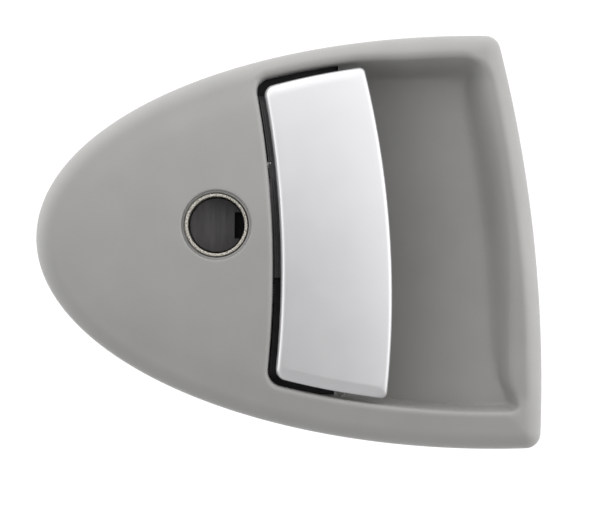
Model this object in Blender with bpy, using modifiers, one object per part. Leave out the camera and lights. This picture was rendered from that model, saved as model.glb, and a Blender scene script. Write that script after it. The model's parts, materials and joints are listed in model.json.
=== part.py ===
"""Exterior paddle door handle for a leisure-vehicle entrance door.

Frame: +X to the pocket side, +Z up, the outer face looks along -Y. The origin
is on the axis of the lock, in the plane of the door's outer skin (y = 0).
All driving dimensions below are in millimetres and are turned into metres
when the meshes are made.
"""

import math

import bmesh
import bpy
from mathutils import Matrix, Vector

MM = 0.001

# ---------------------------------------------------------------- dimensions
# Plan outline: half an ellipse closed on the right by a shallow arc.
ELL_X, ELL_Z = 85.0, -4.4
ELL_A, ELL_B = 142.3, 65.6
EDGE_R, EDGE_X, EDGE_Z = 435.0, 103.8, -54.0
CORNER_R = 4.8

# Dome of the housing, measured from its rear rim.
RIM_Y = -1.5          # rear face of the rim; the seal fills the rest
LIP = 1.0             # straight part of the rim
ROUND = 5.5           # radius of the turned-down border
CROWN = 11.5          # extra height of the crowned middle
CROWN_RUN = 14.0      # distance over which the crown grows from the border
WALL = 2.4            # wall of the moulding

# Window and finger pocket.
LIP_X, LIP_Z, LIP_R = 18.12, -18.0, 307.0      # arc of the window's left edge
TOP_RIM, BOTTOM_RIM, RIGHT_RIM = 6.0, 12.1, 5.6
TUB_LEFT = 41.0
TUB_FLOOR_DEEP, TUB_FLOOR_SHALLOW = 14.5, -2.5 # floor depth at left and right
TUB_RIGHT_FLOOR = 10.5

# Paddle.
PAD_LX, PAD_LZ, PAD_LR = 20.57, -18.0, 300.0
PAD_RX, PAD_RZ, PAD_RR = 55.84, -26.0, 305.0
PAD_H, PAD_APEX_X, PAD_APEX_Z = 18.2, 38.0, -7.0
PAD_BEND_X, PAD_BEND_Z = 260.0, 374.0
COVER_T = 2.2
LEVER_T = 2.6
HINGE_X, HINGE_Y = 16.5, -9.8
HINGE_Z0, HINGE_Z1 = -16.8, 13.6
BARREL_R, BARREL_BORE = 3.2, 2.4
BUSH_OUT, BUSH_IN = 2.1, 1.55
PIN_R = 1.25

# Lock.
LOCK_HOLE_R = 11.1
COLLAR_R = 12.5
SLEEVE_OUT, SLEEVE_IN = 10.2, 8.95
SLEEVE_FRONT, SLEEVE_REAR = -14.2, 13.2
DRIVER_R = 8.6
DRIVER_FRONT = 1.0
CAM_Y0, CAM_Y1 = 13.8, 16.8
CRANK_R = 6.0
CRANK_PIN_R = 1.6

# Mounting frame.
FRAME_Y0, FRAME_Y1 = -0.8, 1.7
SLIDER_Y0, SLIDER_Y1 = 4.2, 7.2
LOCK_SLIDER_Y0, LOCK_SLIDER_Y1 = 17.4, 20.2
COVER_Y0, COVER_Y1 = 21.6, 23.4
FIX_Y = 20.0
FIXINGS = ((-30.0, 22.0), (-30.0, -32.0), (62.0, 22.0), (62.0, -32.0))
FRAME_SCREWS = ((-41.0, -4.0), (-6.0, 34.0), (-6.0, -43.0))
COVER_POSTS = ((-27.0, 10.0), (27.0, 19.0), (27.0, -41.0), (-27.0, -14.0))


# ---------------------------------------------------------------- scene
for old in list(bpy.data.objects):
    bpy.data.objects.remove(old, do_unlink=True)

parts = bpy.data.collections.new("door_handle")
cutters = bpy.data.collections.new("cutters")
bpy.context.scene.collection.children.link(parts)
bpy.context.scene.collection.children.link(cutters)
cutters.hide_render = True


def material(name, colour, roughness, metallic=0.0):
    m = bpy.data.materials.new(name)
    m.use_nodes = True
    b = m.node_tree.nodes["Principled BSDF"]
    b.inputs["Base Color"].default_value = (*colour, 1.0)
    b.inputs["Roughness"].default_value = roughness
    b.inputs["Metallic"].default_value = metallic
    return m


GREY = (0.27, 0.27, 0.265)
BLACK = (0.018, 0.018, 0.02)
STEEL = (0.55, 0.55, 0.56)


# ---------------------------------------------------------------- helpers
def place(obj, mat=None, cutter=False, smooth=True):
    (cutters if cutter else parts).objects.link(obj)
    if cutter:
        obj.hide_render = True
        obj.display_type = "WIRE"
    if mat is not None:
        obj.data.materials.append(mat)
    if smooth and obj.type == "MESH":
        obj.data.shade_smooth()
        obj.data.set_sharp_from_angle(angle=math.radians(35))
    return obj


def from_bmesh(name, bm, mat=None, cutter=False, smooth=True):
    bmesh.ops.recalc_face_normals(bm, faces=bm.faces)
    me = bpy.data.meshes.new(name)
    bm.to_mesh(me)
    bm.free()
    return place(bpy.data.objects.new(name, me), mat, cutter, smooth)


def box(name, x, y, z, mat=None, cutter=False, bevel=0.0):
    """A box between the pairs x, y and z."""
    bm = bmesh.new()
    bmesh.ops.create_cube(bm, size=1.0)
    size = Vector((x[1] - x[0], y[1] - y[0], z[1] - z[0])) * MM
    mid = Vector((x[0] + x[1], y[0] + y[1], z[0] + z[1])) * (MM / 2)
    for v in bm.verts:
        v.co = Vector((v.co.x * size.x, v.co.y * size.y, v.co.z * size.z))
    obj = from_bmesh(name, bm, mat, cutter)
    obj.location = mid
    if bevel:
        b = obj.modifiers.new("Bevel", "BEVEL")
        b.width = bevel * MM
        b.segments = 1
        b.limit_method = "ANGLE"
    return obj


TURN = {
    "y": Matrix.Rotation(math.radians(-90), 4, "X"),  # local +Z -> +Y
    "z": Matrix.Identity(4),
    "x": Matrix.Rotation(math.radians(90), 4, "Y"),  # local +Z -> +X
}


def cylinder(name, at, axis, r, a, b, mat=None, cutter=False, sides=32, r2=None):
    """A cylinder, or a cone frustum with r2, along an axis through at, from a to b."""
    bm = bmesh.new()
    bmesh.ops.create_cone(
        bm, cap_ends=True, segments=sides, radius1=r * MM,
        radius2=(r if r2 is None else r2) * MM, depth=(b - a) * MM,
    )
    bmesh.ops.translate(bm, verts=bm.verts, vec=(0, 0, (a + b) / 2 * MM))
    obj = from_bmesh(name, bm, mat, cutter)
    obj.rotation_euler = TURN[axis].to_euler()
    obj.location = Vector(at) * MM
    return obj


def turned(name, at, axis, profile, mat=None, cutter=False, steps=32):
    """A turned piece. profile is a closed loop of (radius, height), put in the order
    that runs down its outer side, then in and up its inner side or axis."""
    twice_area = sum(p[0] * q[1] - q[0] * p[1] for p, q in zip(profile, profile[1:] + profile[:1]))
    if twice_area > 0:
        profile = profile[::-1]
    me = bpy.data.meshes.new(name)
    pts = [(r * MM, 0.0, h * MM) for r, h in profile]
    n = len(pts)
    on_axis = [i for i, p in enumerate(profile) if p[0] == 0.0]
    edges = [(i, (i + 1) % n) for i in range(n)]
    if on_axis:
        edges = [e for e in edges if not (e[0] in on_axis and e[1] in on_axis)]
    me.from_pydata(pts, edges, [])
    obj = place(bpy.data.objects.new(name, me), mat, cutter, smooth=False)
    s = obj.modifiers.new("Screw", "SCREW")
    s.axis = "Z"
    s.steps = s.render_steps = steps
    s.use_merge_vertices = True
    s.merge_threshold = 0.00002
    s.use_smooth_shade = True
    obj.rotation_euler = TURN[axis].to_euler()
    obj.location = Vector(at) * MM
    return obj


def plate(name, loops, y0, y1, mat=None, cutter=False, as_mesh=True):
    """A flat piece between y0 and y1 with the closed outlines loops, each a list of
    (x, z). The first is the edge and the rest are holes."""
    cu = bpy.data.curves.new(name, "CURVE")
    cu.dimensions = "2D"
    cu.fill_mode = "BOTH"
    cu.extrude = (y1 - y0) / 2 * MM
    for pts in loops:
        sp = cu.splines.new("POLY")
        sp.points.add(len(pts) - 1)
        for p, (x, z) in zip(sp.points, pts):
            p.co = (x * MM, z * MM, 0, 1)
        sp.use_cyclic_u = True
    ob = bpy.data.objects.new(name + "_outline", cu)
    bpy.context.scene.collection.objects.link(ob)
    ob.rotation_euler = (math.radians(90), 0, 0)
    ob.location = (0, (y0 + y1) / 2 * MM, 0)
    bpy.context.view_layer.update()
    graph = bpy.context.evaluated_depsgraph_get()
    me = bpy.data.meshes.new_from_object(ob.evaluated_get(graph))
    world = ob.matrix_world.copy()
    bpy.data.objects.remove(ob)
    bm = bmesh.new()
    bm.from_mesh(me)
    bmesh.ops.remove_doubles(bm, verts=bm.verts, dist=0.000005)
    bmesh.ops.recalc_face_normals(bm, faces=bm.faces)
    bm.to_mesh(me)
    bm.free()
    me.name = name
    obj = place(bpy.data.objects.new(name, me), mat, cutter)
    obj.matrix_world = world
    return obj


def loft(name, rings, mat=None, cutter=False, smooth=True):
    """A closed skin over rings of equal length, with a fan over each end."""
    bm = bmesh.new()
    rows = [[bm.verts.new(Vector(p) * MM) for p in ring] for ring in rings]
    n = len(rows[0])
    for a, b in zip(rows, rows[1:]):
        for i in range(n):
            j = (i + 1) % n
            bm.faces.new((a[i], a[j], b[j], b[i]))
    for row in (rows[0], rows[-1]):
        c = bm.verts.new(sum((v.co for v in row), Vector()) / n)
        for i in range(n):
            bm.faces.new((row[i], row[(i + 1) % n], c))
    return from_bmesh(name, bm, mat, cutter, smooth)


def combine(obj, other, how, solver="EXACT"):
    m = obj.modifiers.new(how.title(), "BOOLEAN")
    m.operation = how
    m.solver = solver
    m.object = other
    return obj


def circle(cx, cz, r, n=24, start=0.0):
    return [
        (cx + r * math.cos(start + 2 * math.pi * i / n), cz + r * math.sin(start + 2 * math.pi * i / n))
        for i in range(n)
    ]


def rounded(points, radii, n=5):
    """The polygon points with each corner rounded to its radius."""
    out = []
    k = len(points)
    for i, (x, z) in enumerate(points):
        r = radii[i] if isinstance(radii, (list, tuple)) else radii
        p = Vector((x, z))
        a = (Vector(points[i - 1]) - p).normalized()
        b = (Vector(points[(i + 1) % k]) - p).normalized()
        if r <= 0:
            out.append((x, z))
            continue
        half = math.acos(max(-1, min(1, a.dot(b)))) / 2
        reach = r / math.tan(half)
        centre = p + (a + b).normalized() * (r / math.sin(half))
        s, e = p + a * reach - centre, p + b * reach - centre
        turn = s.angle_signed(e)
        for j in range(n + 1):
            q = centre + Matrix.Rotation(-turn * j / n, 2) @ s
            out.append((q.x, q.y))
    return out


# ---------------------------------------------------------------- surfaces
def ellipse_z(x, inset=0.0, top=True):
    """Height of the outline's ellipse at x, drawn in by inset along Z."""
    t = max(0.0, 1 - ((x - ELL_X) / ELL_A) ** 2)
    z = ELL_B * math.sqrt(t)
    return ELL_Z + z - inset if top else ELL_Z - z + inset


def edge_x(z, inset=0.0):
    """X of the outline's right-hand arc at z, drawn in by inset."""
    r = EDGE_R - inset
    return EDGE_X - EDGE_R + math.sqrt(r * r - (z - EDGE_Z) ** 2)


def arc_x(z, x0, z0, r):
    return x0 - r + math.sqrt(r * r - (z - z0) ** 2)


def edge_distance(x, z):
    """Distance in from the plan outline, with its corners rounded."""
    ux, uz = (x - ELL_X) / ELL_A, (z - ELL_Z) / ELL_B
    u = math.hypot(ux, uz)
    if x > ELL_X:
        grad = math.hypot(ux / ELL_A, uz / ELL_B) / max(u, 1e-6)
        d1 = (1 - u) / max(grad, 1e-9)
    else:
        grad = math.hypot(ux / ELL_A, uz / ELL_B) / max(u, 1e-6)
        d1 = (1 - u) / max(grad, 1e-9)
    d2 = EDGE_R - math.hypot(x - (EDGE_X - EDGE_R), z - EDGE_Z)
    if d1 < CORNER_R and d2 < CORNER_R:
        return CORNER_R - math.hypot(CORNER_R - d1, CORNER_R - d2)
    return min(d1, d2)


def dome(x, z, d=None):
    """Y of the housing's outer face."""
    if d is None:
        d = edge_distance(x, z)
    d = max(0.0, d)
    u2 = ((x - ELL_X) / ELL_A) ** 2 + ((z - ELL_Z) / ELL_B) ** 2
    crown = CROWN * max(0.0, 1 - u2)
    if x > 40:
        crown *= 1 - 0.5 * ((x - 40) / 64) ** 2
    run = 1 - (1 - min(d, CROWN_RUN) / CROWN_RUN) ** 2
    border = ROUND * math.sqrt(max(0.0, 1 - (1 - min(d, ROUND) / ROUND) ** 2))
    return RIM_Y - LIP - border - crown * run


def paddle_face(x, z):
    return -(PAD_H - (x - PAD_APEX_X) ** 2 / PAD_BEND_X - (z - PAD_APEX_Z) ** 2 / PAD_BEND_Z)


def corner(fx, fz, x, z):
    """Where the curves x = fx(z) and z = fz(x) cross."""
    for _ in range(30):
        x, z = fx(z), fz(x)
    return x, z


def four_sided(bottom, right, top, left, radii, n_h=8, n_v=10, n_c=4, x_mid=60.0):
    """A loop of (x, z) round four curves, anticlockwise from the bottom left, with the
    corners bottom left, bottom right, top right and top left rounded to radii."""
    c = [
        corner(left, bottom, x_mid - 20, -40), corner(right, bottom, x_mid + 20, -40),
        corner(right, top, x_mid + 20, 40), corner(left, top, x_mid - 20, 40),
    ]
    sides = []
    for k in range(4):
        (x0, z0), (x1, z1) = c[k], c[(k + 1) % 4]
        f, along_x = ((bottom, True), (right, False), (top, True), (left, False))[k]
        length = math.hypot(x1 - x0, z1 - z0)
        a, b = radii[k] / length, 1 - radii[(k + 1) % 4] / length
        count = n_h if along_x else n_v
        pts = []
        for i in range(count):
            t = a + (b - a) * i / (count - 1)
            if along_x:
                x = x0 + (x1 - x0) * t
                pts.append((x, f(x)))
            else:
                z = z0 + (z1 - z0) * t
                pts.append((f(z), z))
        sides.append(pts)
    out = []
    for k in range(4):
        out += sides[k]
        p, q, v = Vector(sides[k][-1]), Vector(sides[(k + 1) % 4][0]), Vector(c[(k + 1) % 4])
        h = 0.5523
        c1, c2 = p.lerp(v, h), q.lerp(v, h)
        for i in range(1, n_c):
            t = i / n_c
            s = 1 - t
            w = p * s**3 + c1 * 3 * s * s * t + c2 * 3 * s * t * t + q * t**3
            out.append((w.x, w.y))
    return out


# Plan outline as points, anticlockwise from the bottom left-most run.
def outline(inset=0.0, n_ell=56, n_edge=8, n_corner=4):
    """The plan outline drawn in by inset along its normals."""
    def ell(t):
        x, z = ELL_X + ELL_A * math.cos(t), ELL_Z + ELL_B * math.sin(t)
        n = Vector((math.cos(t) / ELL_A, math.sin(t) / ELL_B)).normalized()
        return Vector((x, z)) - n * inset

    full = max(CORNER_R, inset + 0.3)
    r = full - inset

    def corner_centre(sign):
        # centre of the corner's arc: CORNER_R in from both curves
        x, z = 98.0, 55.0 * sign
        for _ in range(60):
            z_new = None
            lo, hi = 0.0, math.pi
            t = math.acos(max(-1, min(1, (x - ELL_X) / ELL_A))) * sign
            for _ in range(20):
                px = ELL_X + ELL_A * math.cos(t)
                nx = math.cos(t) / ELL_A
                nz = math.sin(t) / ELL_B
                ln = math.hypot(nx, nz)
                qx = px - nx / ln * full
                t -= (x - qx) / (ELL_A * abs(math.sin(t))) * sign
            z_new = ELL_Z + ELL_B * math.sin(t) - nz / ln * full
            x = edge_x(z_new, full)
            if abs(z_new - z) < 1e-6:
                break
            z = z_new
        return x, z_new, t

    xt, zt, tt = corner_centre(1)
    xb, zb, tb = corner_centre(-1)
    pts = []
    # top corner's end on the ellipse, round the nose, to the bottom corner
    for i in range(n_ell + 1):
        s = i / n_ell
        s = s + 0.10 * math.sin(2 * math.pi * s) / (2 * math.pi) * -1
        t = tt + (2 * math.pi + tb - tt) * s
        v = ell(t)
        pts.append((v.x, v.y))
    # bottom corner
    def arc(cx, cz, a0, a1):
        for i in range(1, n_corner):
            a = a0 + (a1 - a0) * i / n_corner
            pts.append((cx + r * math.cos(a), cz + r * math.sin(a)))

    na = math.atan2(math.sin(tb) / ELL_B, math.cos(tb) / ELL_A)
    nb = math.atan2(zb - EDGE_Z, xb - (EDGE_X - EDGE_R))
    arc(xb, zb, na, nb)
    ea = math.atan2(zb - EDGE_Z, xb - (EDGE_X - EDGE_R))
    eb = math.atan2(zt - EDGE_Z, xt - (EDGE_X - EDGE_R))
    for i in range(n_edge + 1):
        a = ea + (eb - ea) * i / n_edge
        pts.append((EDGE_X - EDGE_R + (EDGE_R - inset) * math.cos(a), EDGE_Z + (EDGE_R - inset) * math.sin(a)))
    nt = math.atan2(math.sin(tt) / ELL_B, math.cos(tt) / ELL_A)
    arc(xt, zt, eb, nt)
    return pts[::-1]


def shrink(ring, s, cx=40.0, cz=-5.0):
    return [(cx + (x - cx) * s, cz + (z - cz) * s) for x, z in ring]


def dome_rings(inset, drop, base_y, near=(0.0, 0.35, 1.4, 4.0), far=(0.9, 0.72, 0.48, 0.2)):
    """Rings over the outer face, drawn in by inset and dropped by drop behind it."""
    rings = []
    first = outline(inset)
    rings.append([(x, base_y, z) for x, z in first])
    for d in near:
        loop = outline(inset + d)
        rings.append([(x, dome(x, z, d) + drop, z) for x, z in loop])
    last = outline(inset + near[-1])
    for s in far:
        loop = shrink(last, s)
        rings.append([(x, dome(x, z, max(edge_distance(x, z) - inset, near[-1])) + drop, z) for x, z in loop])
    return rings


# ---------------------------------------------------------------- housing
m_housing = material("housing_grey_plastic", GREY, 0.42)

housing = loft("housing", dome_rings(0.0, 0.0, RIM_Y), m_housing)

hollow = loft("cut_hollow", dome_rings(WALL, WALL, 6.0, near=(0.0, 0.8, 2.2), far=(0.9, 0.72, 0.45, 0.2)), cutter=True)
combine(housing, hollow, "DIFFERENCE")


def floor_y(x):
    """Depth of the pocket's floor: a straight ramp that rounds up into the left wall."""
    t = min(1.0, max(0.0, (x - TUB_LEFT) / (93.0 - TUB_LEFT)))
    return TUB_FLOOR_DEEP + (TUB_FLOOR_SHALLOW - TUB_FLOOR_DEEP) * t


def pocket_rings(off, front, deeper):
    """Rings of the finger pocket from its mouth to its floor. off widens it all round."""
    mouth = four_sided(
        lambda x: ellipse_z(x, BOTTOM_RIM - off, False), lambda z: edge_x(z, RIGHT_RIM - off),
        lambda x: ellipse_z(x, TOP_RIM - off), lambda z: TUB_LEFT - off, (2 + off, 5 + off, 6 + off, 2 + off),
    )
    floor = four_sided(
        lambda x: ellipse_z(x, BOTTOM_RIM + 3.0 - off, False), lambda z: edge_x(z, TUB_RIGHT_FLOOR - off),
        lambda x: ellipse_z(x, TOP_RIM + 5.0 - 0.03 * (x - 41) - off), lambda z: TUB_LEFT + 1.0 - off,
        (4 + off, 5 + off, 6 + off, 4 + off),
    )
    rings = [[(x, front, z) for x, z in mouth]]
    for t in (0.0, 0.5, 0.85, 1.0):
        ring = []
        for (mx, mz), (fx, fz) in zip(mouth, floor):
            top = max(front, dome(mx, mz) + 1.2) if t == 0.0 else dome(mx, mz)
            low = floor_y(fx) + deeper
            y = top + (low - top) * {0.0: 0.0, 0.5: 0.5, 0.85: 0.9, 1.0: 1.0}[t]
            x = mx + (fx - mx) * {0.0: 0.0, 0.5: 0.42, 0.85: 0.75, 1.0: 1.0}[t]
            z = mz + (fz - mz) * {0.0: 0.0, 0.5: 0.42, 0.85: 0.75, 1.0: 1.0}[t]
            ring.append((x, y, z))
        rings.append(ring)
    cx = sum(p[0] for p in floor) / len(floor)
    cz = sum(p[1] for p in floor) / len(floor)
    for s in (0.55,):
        rings.append([(x, floor_y(x) + deeper, z) for x, z in shrink(floor, s, cx, cz)])
    return rings


# The pocket's tub, kept under the dome by an intersection with the plan prism.
tub = loft("tub_outside", pocket_rings(WALL, -22.0, WALL), cutter=True)
under_dome = loft("under_dome", dome_rings(0.4, 0.6, 30.0, near=(0.0, 0.8, 2.3), far=(0.85, 0.5)), cutter=True)
combine(tub, under_dome, "INTERSECT")
combine(housing, tub, "UNION")

# Ribs behind the tub, posts for the door fixings, bosses for the frame's screws.
for i, z in enumerate((22.0, -5.0, -32.0)):
    rib = loft(
        f"rib_{i}",
        [
            [(43.0, 8.0, z + s), (87.5, -3.0, z + s), (87.5, 5.0, z + s), (84.0, 12.0, z + s), (46.0, FIX_Y, z + s), (43.0, FIX_Y, z + s)]
            for s in (-0.9, 0.9)
        ],
        cutter=True, smooth=False,
    )
    combine(housing, rib, "UNION")
for i, (x, z) in enumerate(FIXINGS):
    front = dome(x, z) + 1.2 if x < 0 else floor_y(x) + 0.8
    post = cylinder(f"post_{i}", (x, 0, z), "y", 5.0, front, FIX_Y, cutter=True, sides=20)
    combine(housing, post, "UNION")
for i, (x, z) in enumerate(FRAME_SCREWS):
    boss = cylinder(f"boss_{i}", (x, 0, z), "y", 3.8, dome(x, z) + 1.2, FRAME_Y0 - 0.3, cutter=True, sides=20)
    combine(housing, boss, "UNION")
collar = cylinder("collar", (0, 0, 0), "y", COLLAR_R, -13.6, -2.6, cutter=True, sides=40)
combine(housing, collar, "UNION")

# Cuts: pocket, window for the paddle, lock hole, screw and insert holes.
pocket = loft("cut_pocket", pocket_rings(0.0, -22.0, 0.0), cutter=True)
combine(housing, pocket, "DIFFERENCE")

window = four_sided(
    lambda x: ellipse_z(x, BOTTOM_RIM, False), lambda z: TUB_LEFT + 6.0,
    lambda x: ellipse_z(x, TOP_RIM), lambda z: arc_x(z, LIP_X, LIP_Z, LIP_R),
    (4.2, 0.5, 0.5, 4.2), n_h=8, n_c=5, x_mid=30.0,
)
window_cut = plate("cut_window", [window], -24.0, -4.0, cutter=True)
combine(housing, window_cut, "DIFFERENCE")
combine(housing, cylinder("cut_lock", (0, 0, 0), "y", LOCK_HOLE_R, -25, 4, cutter=True, sides=48), "DIFFERENCE")
for i, (x, z) in enumerate(FIXINGS):
    combine(housing, cylinder(f"cut_insert_{i}", (x, 0, z), "y", 3.8, FIX_Y - 6.6, FIX_Y + 2, cutter=True, sides=20), "DIFFERENCE")
for i, (x, z) in enumerate(FRAME_SCREWS):
    combine(housing, cylinder(f"cut_pilot_{i}", (x, 0, z), "y", 1.75, -6.0, 2.0, cutter=True, sides=16), "DIFFERENCE")

# ---------------------------------------------------------------- seal
m_seal = material("seal_epdm", (0.02, 0.02, 0.02), 0.85)
seal = plate(
    "door_seal", [outline(0.6, n_ell=44, n_edge=6), outline(3.1, n_ell=44, n_edge=6)], RIM_Y + 0.3, 0.0, m_seal
)

# ---------------------------------------------------------------- paddle
m_cover = material("paddle_silver_paint", (0.72, 0.73, 0.75), 0.28, 0.85)
m_lever = material("lever_black_nylon", BLACK, 0.5)


def paddle_loop(inset, n_h=9, n_v=15, n_c=4):
    return four_sided(
        lambda x: ellipse_z(x, 14.45 - 0.012 * (x - 20) + inset, False),
        lambda z: arc_x(z, PAD_RX, PAD_RZ, PAD_RR) - inset,
        lambda x: ellipse_z(x, 8.75 - 0.026 * (x - 17) + inset),
        lambda z: arc_x(z, PAD_LX, PAD_LZ, PAD_LR) + inset,
        (max(3.0 - inset, 0.6), max(2.0 - inset, 0.6), max(1.6 - inset, 0.6), max(3.0 - inset, 0.6)),
        n_h=n_h, n_v=n_v, n_c=n_c, x_mid=38.0,
    )


def skin(loop, back):
    return [(x, paddle_face(x, z) + back, z) for x, z in loop]


cover = loft(
    "paddle_cover",
    [
        skin(shrink(paddle_loop(2.4), 0.5, 37.0, -3.0), COVER_T), skin(paddle_loop(0.5), COVER_T),
        skin(paddle_loop(0.0), 1.7), skin(paddle_loop(0.2), 0.9), skin(paddle_loop(1.0), 0.25),
        skin(paddle_loop(2.4), 0.0), skin(shrink(paddle_loop(2.4), 0.5, 37.0, -3.0), 0.0),
    ],
    m_cover,
)

gap = COVER_T + 0.3
lever_l = paddle_loop(1.1)
lever = loft(
    "paddle_lever",
    [
        skin(shrink(paddle_loop(3.0), 0.5, 37.0, -3.0), gap + LEVER_T), skin(paddle_loop(3.0), gap + LEVER_T),
        skin(paddle_loop(1.5), gap + LEVER_T - 0.5), skin(paddle_loop(1.1), gap + LEVER_T - 1.4),
        skin(paddle_loop(1.1), gap), skin(shrink(paddle_loop(3.0), 0.5, 37.0, -3.0), gap),
    ],
    m_lever,
)
barrel = cylinder("lever_barrel", (HINGE_X, HINGE_Y, 0), "z", BARREL_R, HINGE_Z0, HINGE_Z1, cutter=True, sides=28)
combine(lever, barrel, "UNION")
neck = loft(
    "lever_neck",
    [
        [(HINGE_X, -11.4, z), (20.9, -12.2, z), (20.9, -13.6, z), (32.0, -13.6, z), (34.0, -11.5, z), (27.0, -8.6, z), (HINGE_X, -7.2, z)]
        for z in (HINGE_Z0 + 0.4, HINGE_Z1 - 0.4)
    ],
    cutter=True, smooth=False,
)
combine(lever, neck, "UNION")
tail = loft(
    "lever_tail",
    [
        [(HINGE_X + 0.2, -8.0, z), (HINGE_X + 4.2, -8.4, z), (HINGE_X + 4.2, 6.4, z), (HINGE_X + 3.4, 8.6, z), (HINGE_X + 1.0, 8.6, z), (HINGE_X + 0.2, 6.4, z)]
        for z in (-8.0, 0.0)
    ],
    cutter=True, smooth=False,
)
combine(lever, tail, "UNION")
combine(lever, cylinder("cut_barrel", (HINGE_X, HINGE_Y, 0), "z", BARREL_BORE, HINGE_Z0 - 2, HINGE_Z1 + 2, cutter=True, sides=28), "DIFFERENCE")

m_pin = material("hinge_pin_steel", STEEL, 0.25, 1.0)
hinge_pin = turned(
    "hinge_pin", (HINGE_X, HINGE_Y, 0), "z",
    [(0.0, 20.0), (2.2, 20.0), (2.4, 19.8), (2.4, 19.0), (PIN_R, 19.0), (PIN_R, -28.4), (0.95, -28.4), (0.95, -29.3),
     (PIN_R, -29.3), (PIN_R, -30.1), (0.9, -30.5), (0.0, -30.5)],
    m_pin, steps=24,
)
m_bush = material("bush_acetal", (0.02, 0.02, 0.021), 0.45)
for name, z, s in (("hinge_bush_upper", HINGE_Z1, 1), ("hinge_bush_lower", HINGE_Z0, -1)):
    prof = [(2.9, 1.0), (2.9, 0.3), (BUSH_OUT, 0.3), (BUSH_OUT, -7.0), (BUSH_IN, -7.0), (BUSH_IN, 1.0)]
    if s < 0:
        prof = [(r, -h) for r, h in prof[::-1]]
    turned(name, (HINGE_X, HINGE_Y, z), "z", prof, m_bush, steps=24)
m_clip = material("clip_spring_steel", (0.08, 0.08, 0.085), 0.35, 1.0)
turned(
    "hinge_pin_clip", (HINGE_X, HINGE_Y, 0), "z",
    [(2.6, -28.5), (2.6, -29.15), (1.25, -29.15), (1.25, -28.5)], m_clip, steps=20,
)


def coil(name, at, axis, r, wire, a, b, turns, mat, legs=None, per_turn=12):
    """A coil spring of round wire about an axis, from a to b along it."""
    cu = bpy.data.curves.new(name, "CURVE")
    cu.dimensions = "3D"
    cu.bevel_depth = wire / 2 * MM
    cu.bevel_resolution = 1
    cu.use_fill_caps = True
    n = int(turns * per_turn)
    pts = []
    if legs:
        pts.append(legs[0])
    for i in range(n + 1):
        t = i / n
        w = 2 * math.pi * turns * t
        pts.append((r * math.cos(w), r * math.sin(w), a + (b - a) * t))
    if legs:
        pts.append(legs[1])
    sp = cu.splines.new("POLY")
    sp.points.add(len(pts) - 1)
    for p, q in zip(sp.points, pts):
        p.co = (q[0] * MM, q[1] * MM, q[2] * MM, 1)
    obj = bpy.data.objects.new(name, cu)
    parts.objects.link(obj)
    cu.materials.append(mat)
    obj.rotation_euler = TURN[axis].to_euler()
    obj.location = Vector(at) * MM
    return obj


m_spring = material("spring_steel", (0.35, 0.35, 0.36), 0.3, 1.0)

# ---------------------------------------------------------------- lock
m_sleeve = material("sleeve_zinc", (0.70, 0.67, 0.60), 0.35, 1.0)
sleeve = turned(
    "lock_sleeve", (0, 0, 0), "y",
    [
        (SLEEVE_IN, SLEEVE_FRONT + 0.3), (SLEEVE_IN, SLEEVE_REAR - 2.0), (5.6, SLEEVE_REAR - 2.0), (5.6, SLEEVE_REAR),
        (SLEEVE_OUT, SLEEVE_REAR), (SLEEVE_OUT, 11.6), (9.4, 11.6), (9.4, 10.6), (SLEEVE_OUT, 10.6),
        (SLEEVE_OUT, SLEEVE_FRONT + 0.35), (SLEEVE_OUT - 0.35, SLEEVE_FRONT), (SLEEVE_IN + 0.3, SLEEVE_FRONT),
    ],
    m_sleeve, steps=36,
)
m_circlip = material("circlip_steel", (0.10, 0.10, 0.105), 0.35, 1.0)
circlip_arc = [math.radians(a) for a in range(110, 431, 16)]
turned_ring = (
    [(11.6 * math.cos(a), 11.6 * math.sin(a)) for a in circlip_arc]
    + [(9.75 * math.cos(a), 9.75 * math.sin(a)) for a in circlip_arc[::-1]]
)
plate("sleeve_circlip", [turned_ring], 10.75, 11.45, m_circlip)

m_driver = material("driver_dark_zinc", (0.05, 0.05, 0.055), 0.5, 0.3)
driver = turned(
    "lock_driver", (0, 0, 0), "y",
    [
        (0.0, DRIVER_FRONT), (DRIVER_R, DRIVER_FRONT), (DRIVER_R, 10.8), (5.2, 10.8), (5.2, 13.5), (3.4, 13.5),
        (3.4, 16.9), (0.0, 16.9),
    ],
    m_driver, steps=28,
)
combine(driver, box("cut_key_slot", (5.6, 12.0), (-4.0, 8.0), (-4.2, 4.2), cutter=True), "DIFFERENCE")
combine(driver, box("cut_flat_a", (2.7, 8.0), (13.55, 20.0), (-6, 6), cutter=True), "DIFFERENCE")
combine(driver, cylinder("cut_driver_thread", (0, 0, 0), "y", 1.3, 9.0, 20.0, cutter=True, sides=12), "DIFFERENCE")

m_cam = material("cam_zinc_plated", (0.60, 0.59, 0.52), 0.35, 1.0)
a0 = math.radians(-45)
pin_x, pin_z = CRANK_R * math.cos(a0), CRANK_R * math.sin(a0)
cam_profile = []
for i in range(28):
    a = 2 * math.pi * i / 28
    r = 6.4 + 3.4 * max(0.0, math.cos(a - a0)) ** 2
    cam_profile.append((r * math.cos(a), r * math.sin(a)))
cam = plate("lock_cam", [cam_profile], CAM_Y0, CAM_Y1, m_cam)
combine(cam, cylinder("crank_pin", (pin_x, 0, pin_z), "y", CRANK_PIN_R, CAM_Y1 - 1.0, 20.8, cutter=True, sides=16), "UNION")
d_hole = [(min(3.7 * math.cos(a), 3.0), 3.7 * math.sin(a)) for a in [2 * math.pi * i / 24 for i in range(24)]]
combine(cam, plate("cut_d_hole", [d_hole], CAM_Y0 - 1, CAM_Y1 + 1, cutter=True), "DIFFERENCE")
m_screw = material("screw_zinc_plated", (0.62, 0.62, 0.60), 0.3, 1.0)
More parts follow.
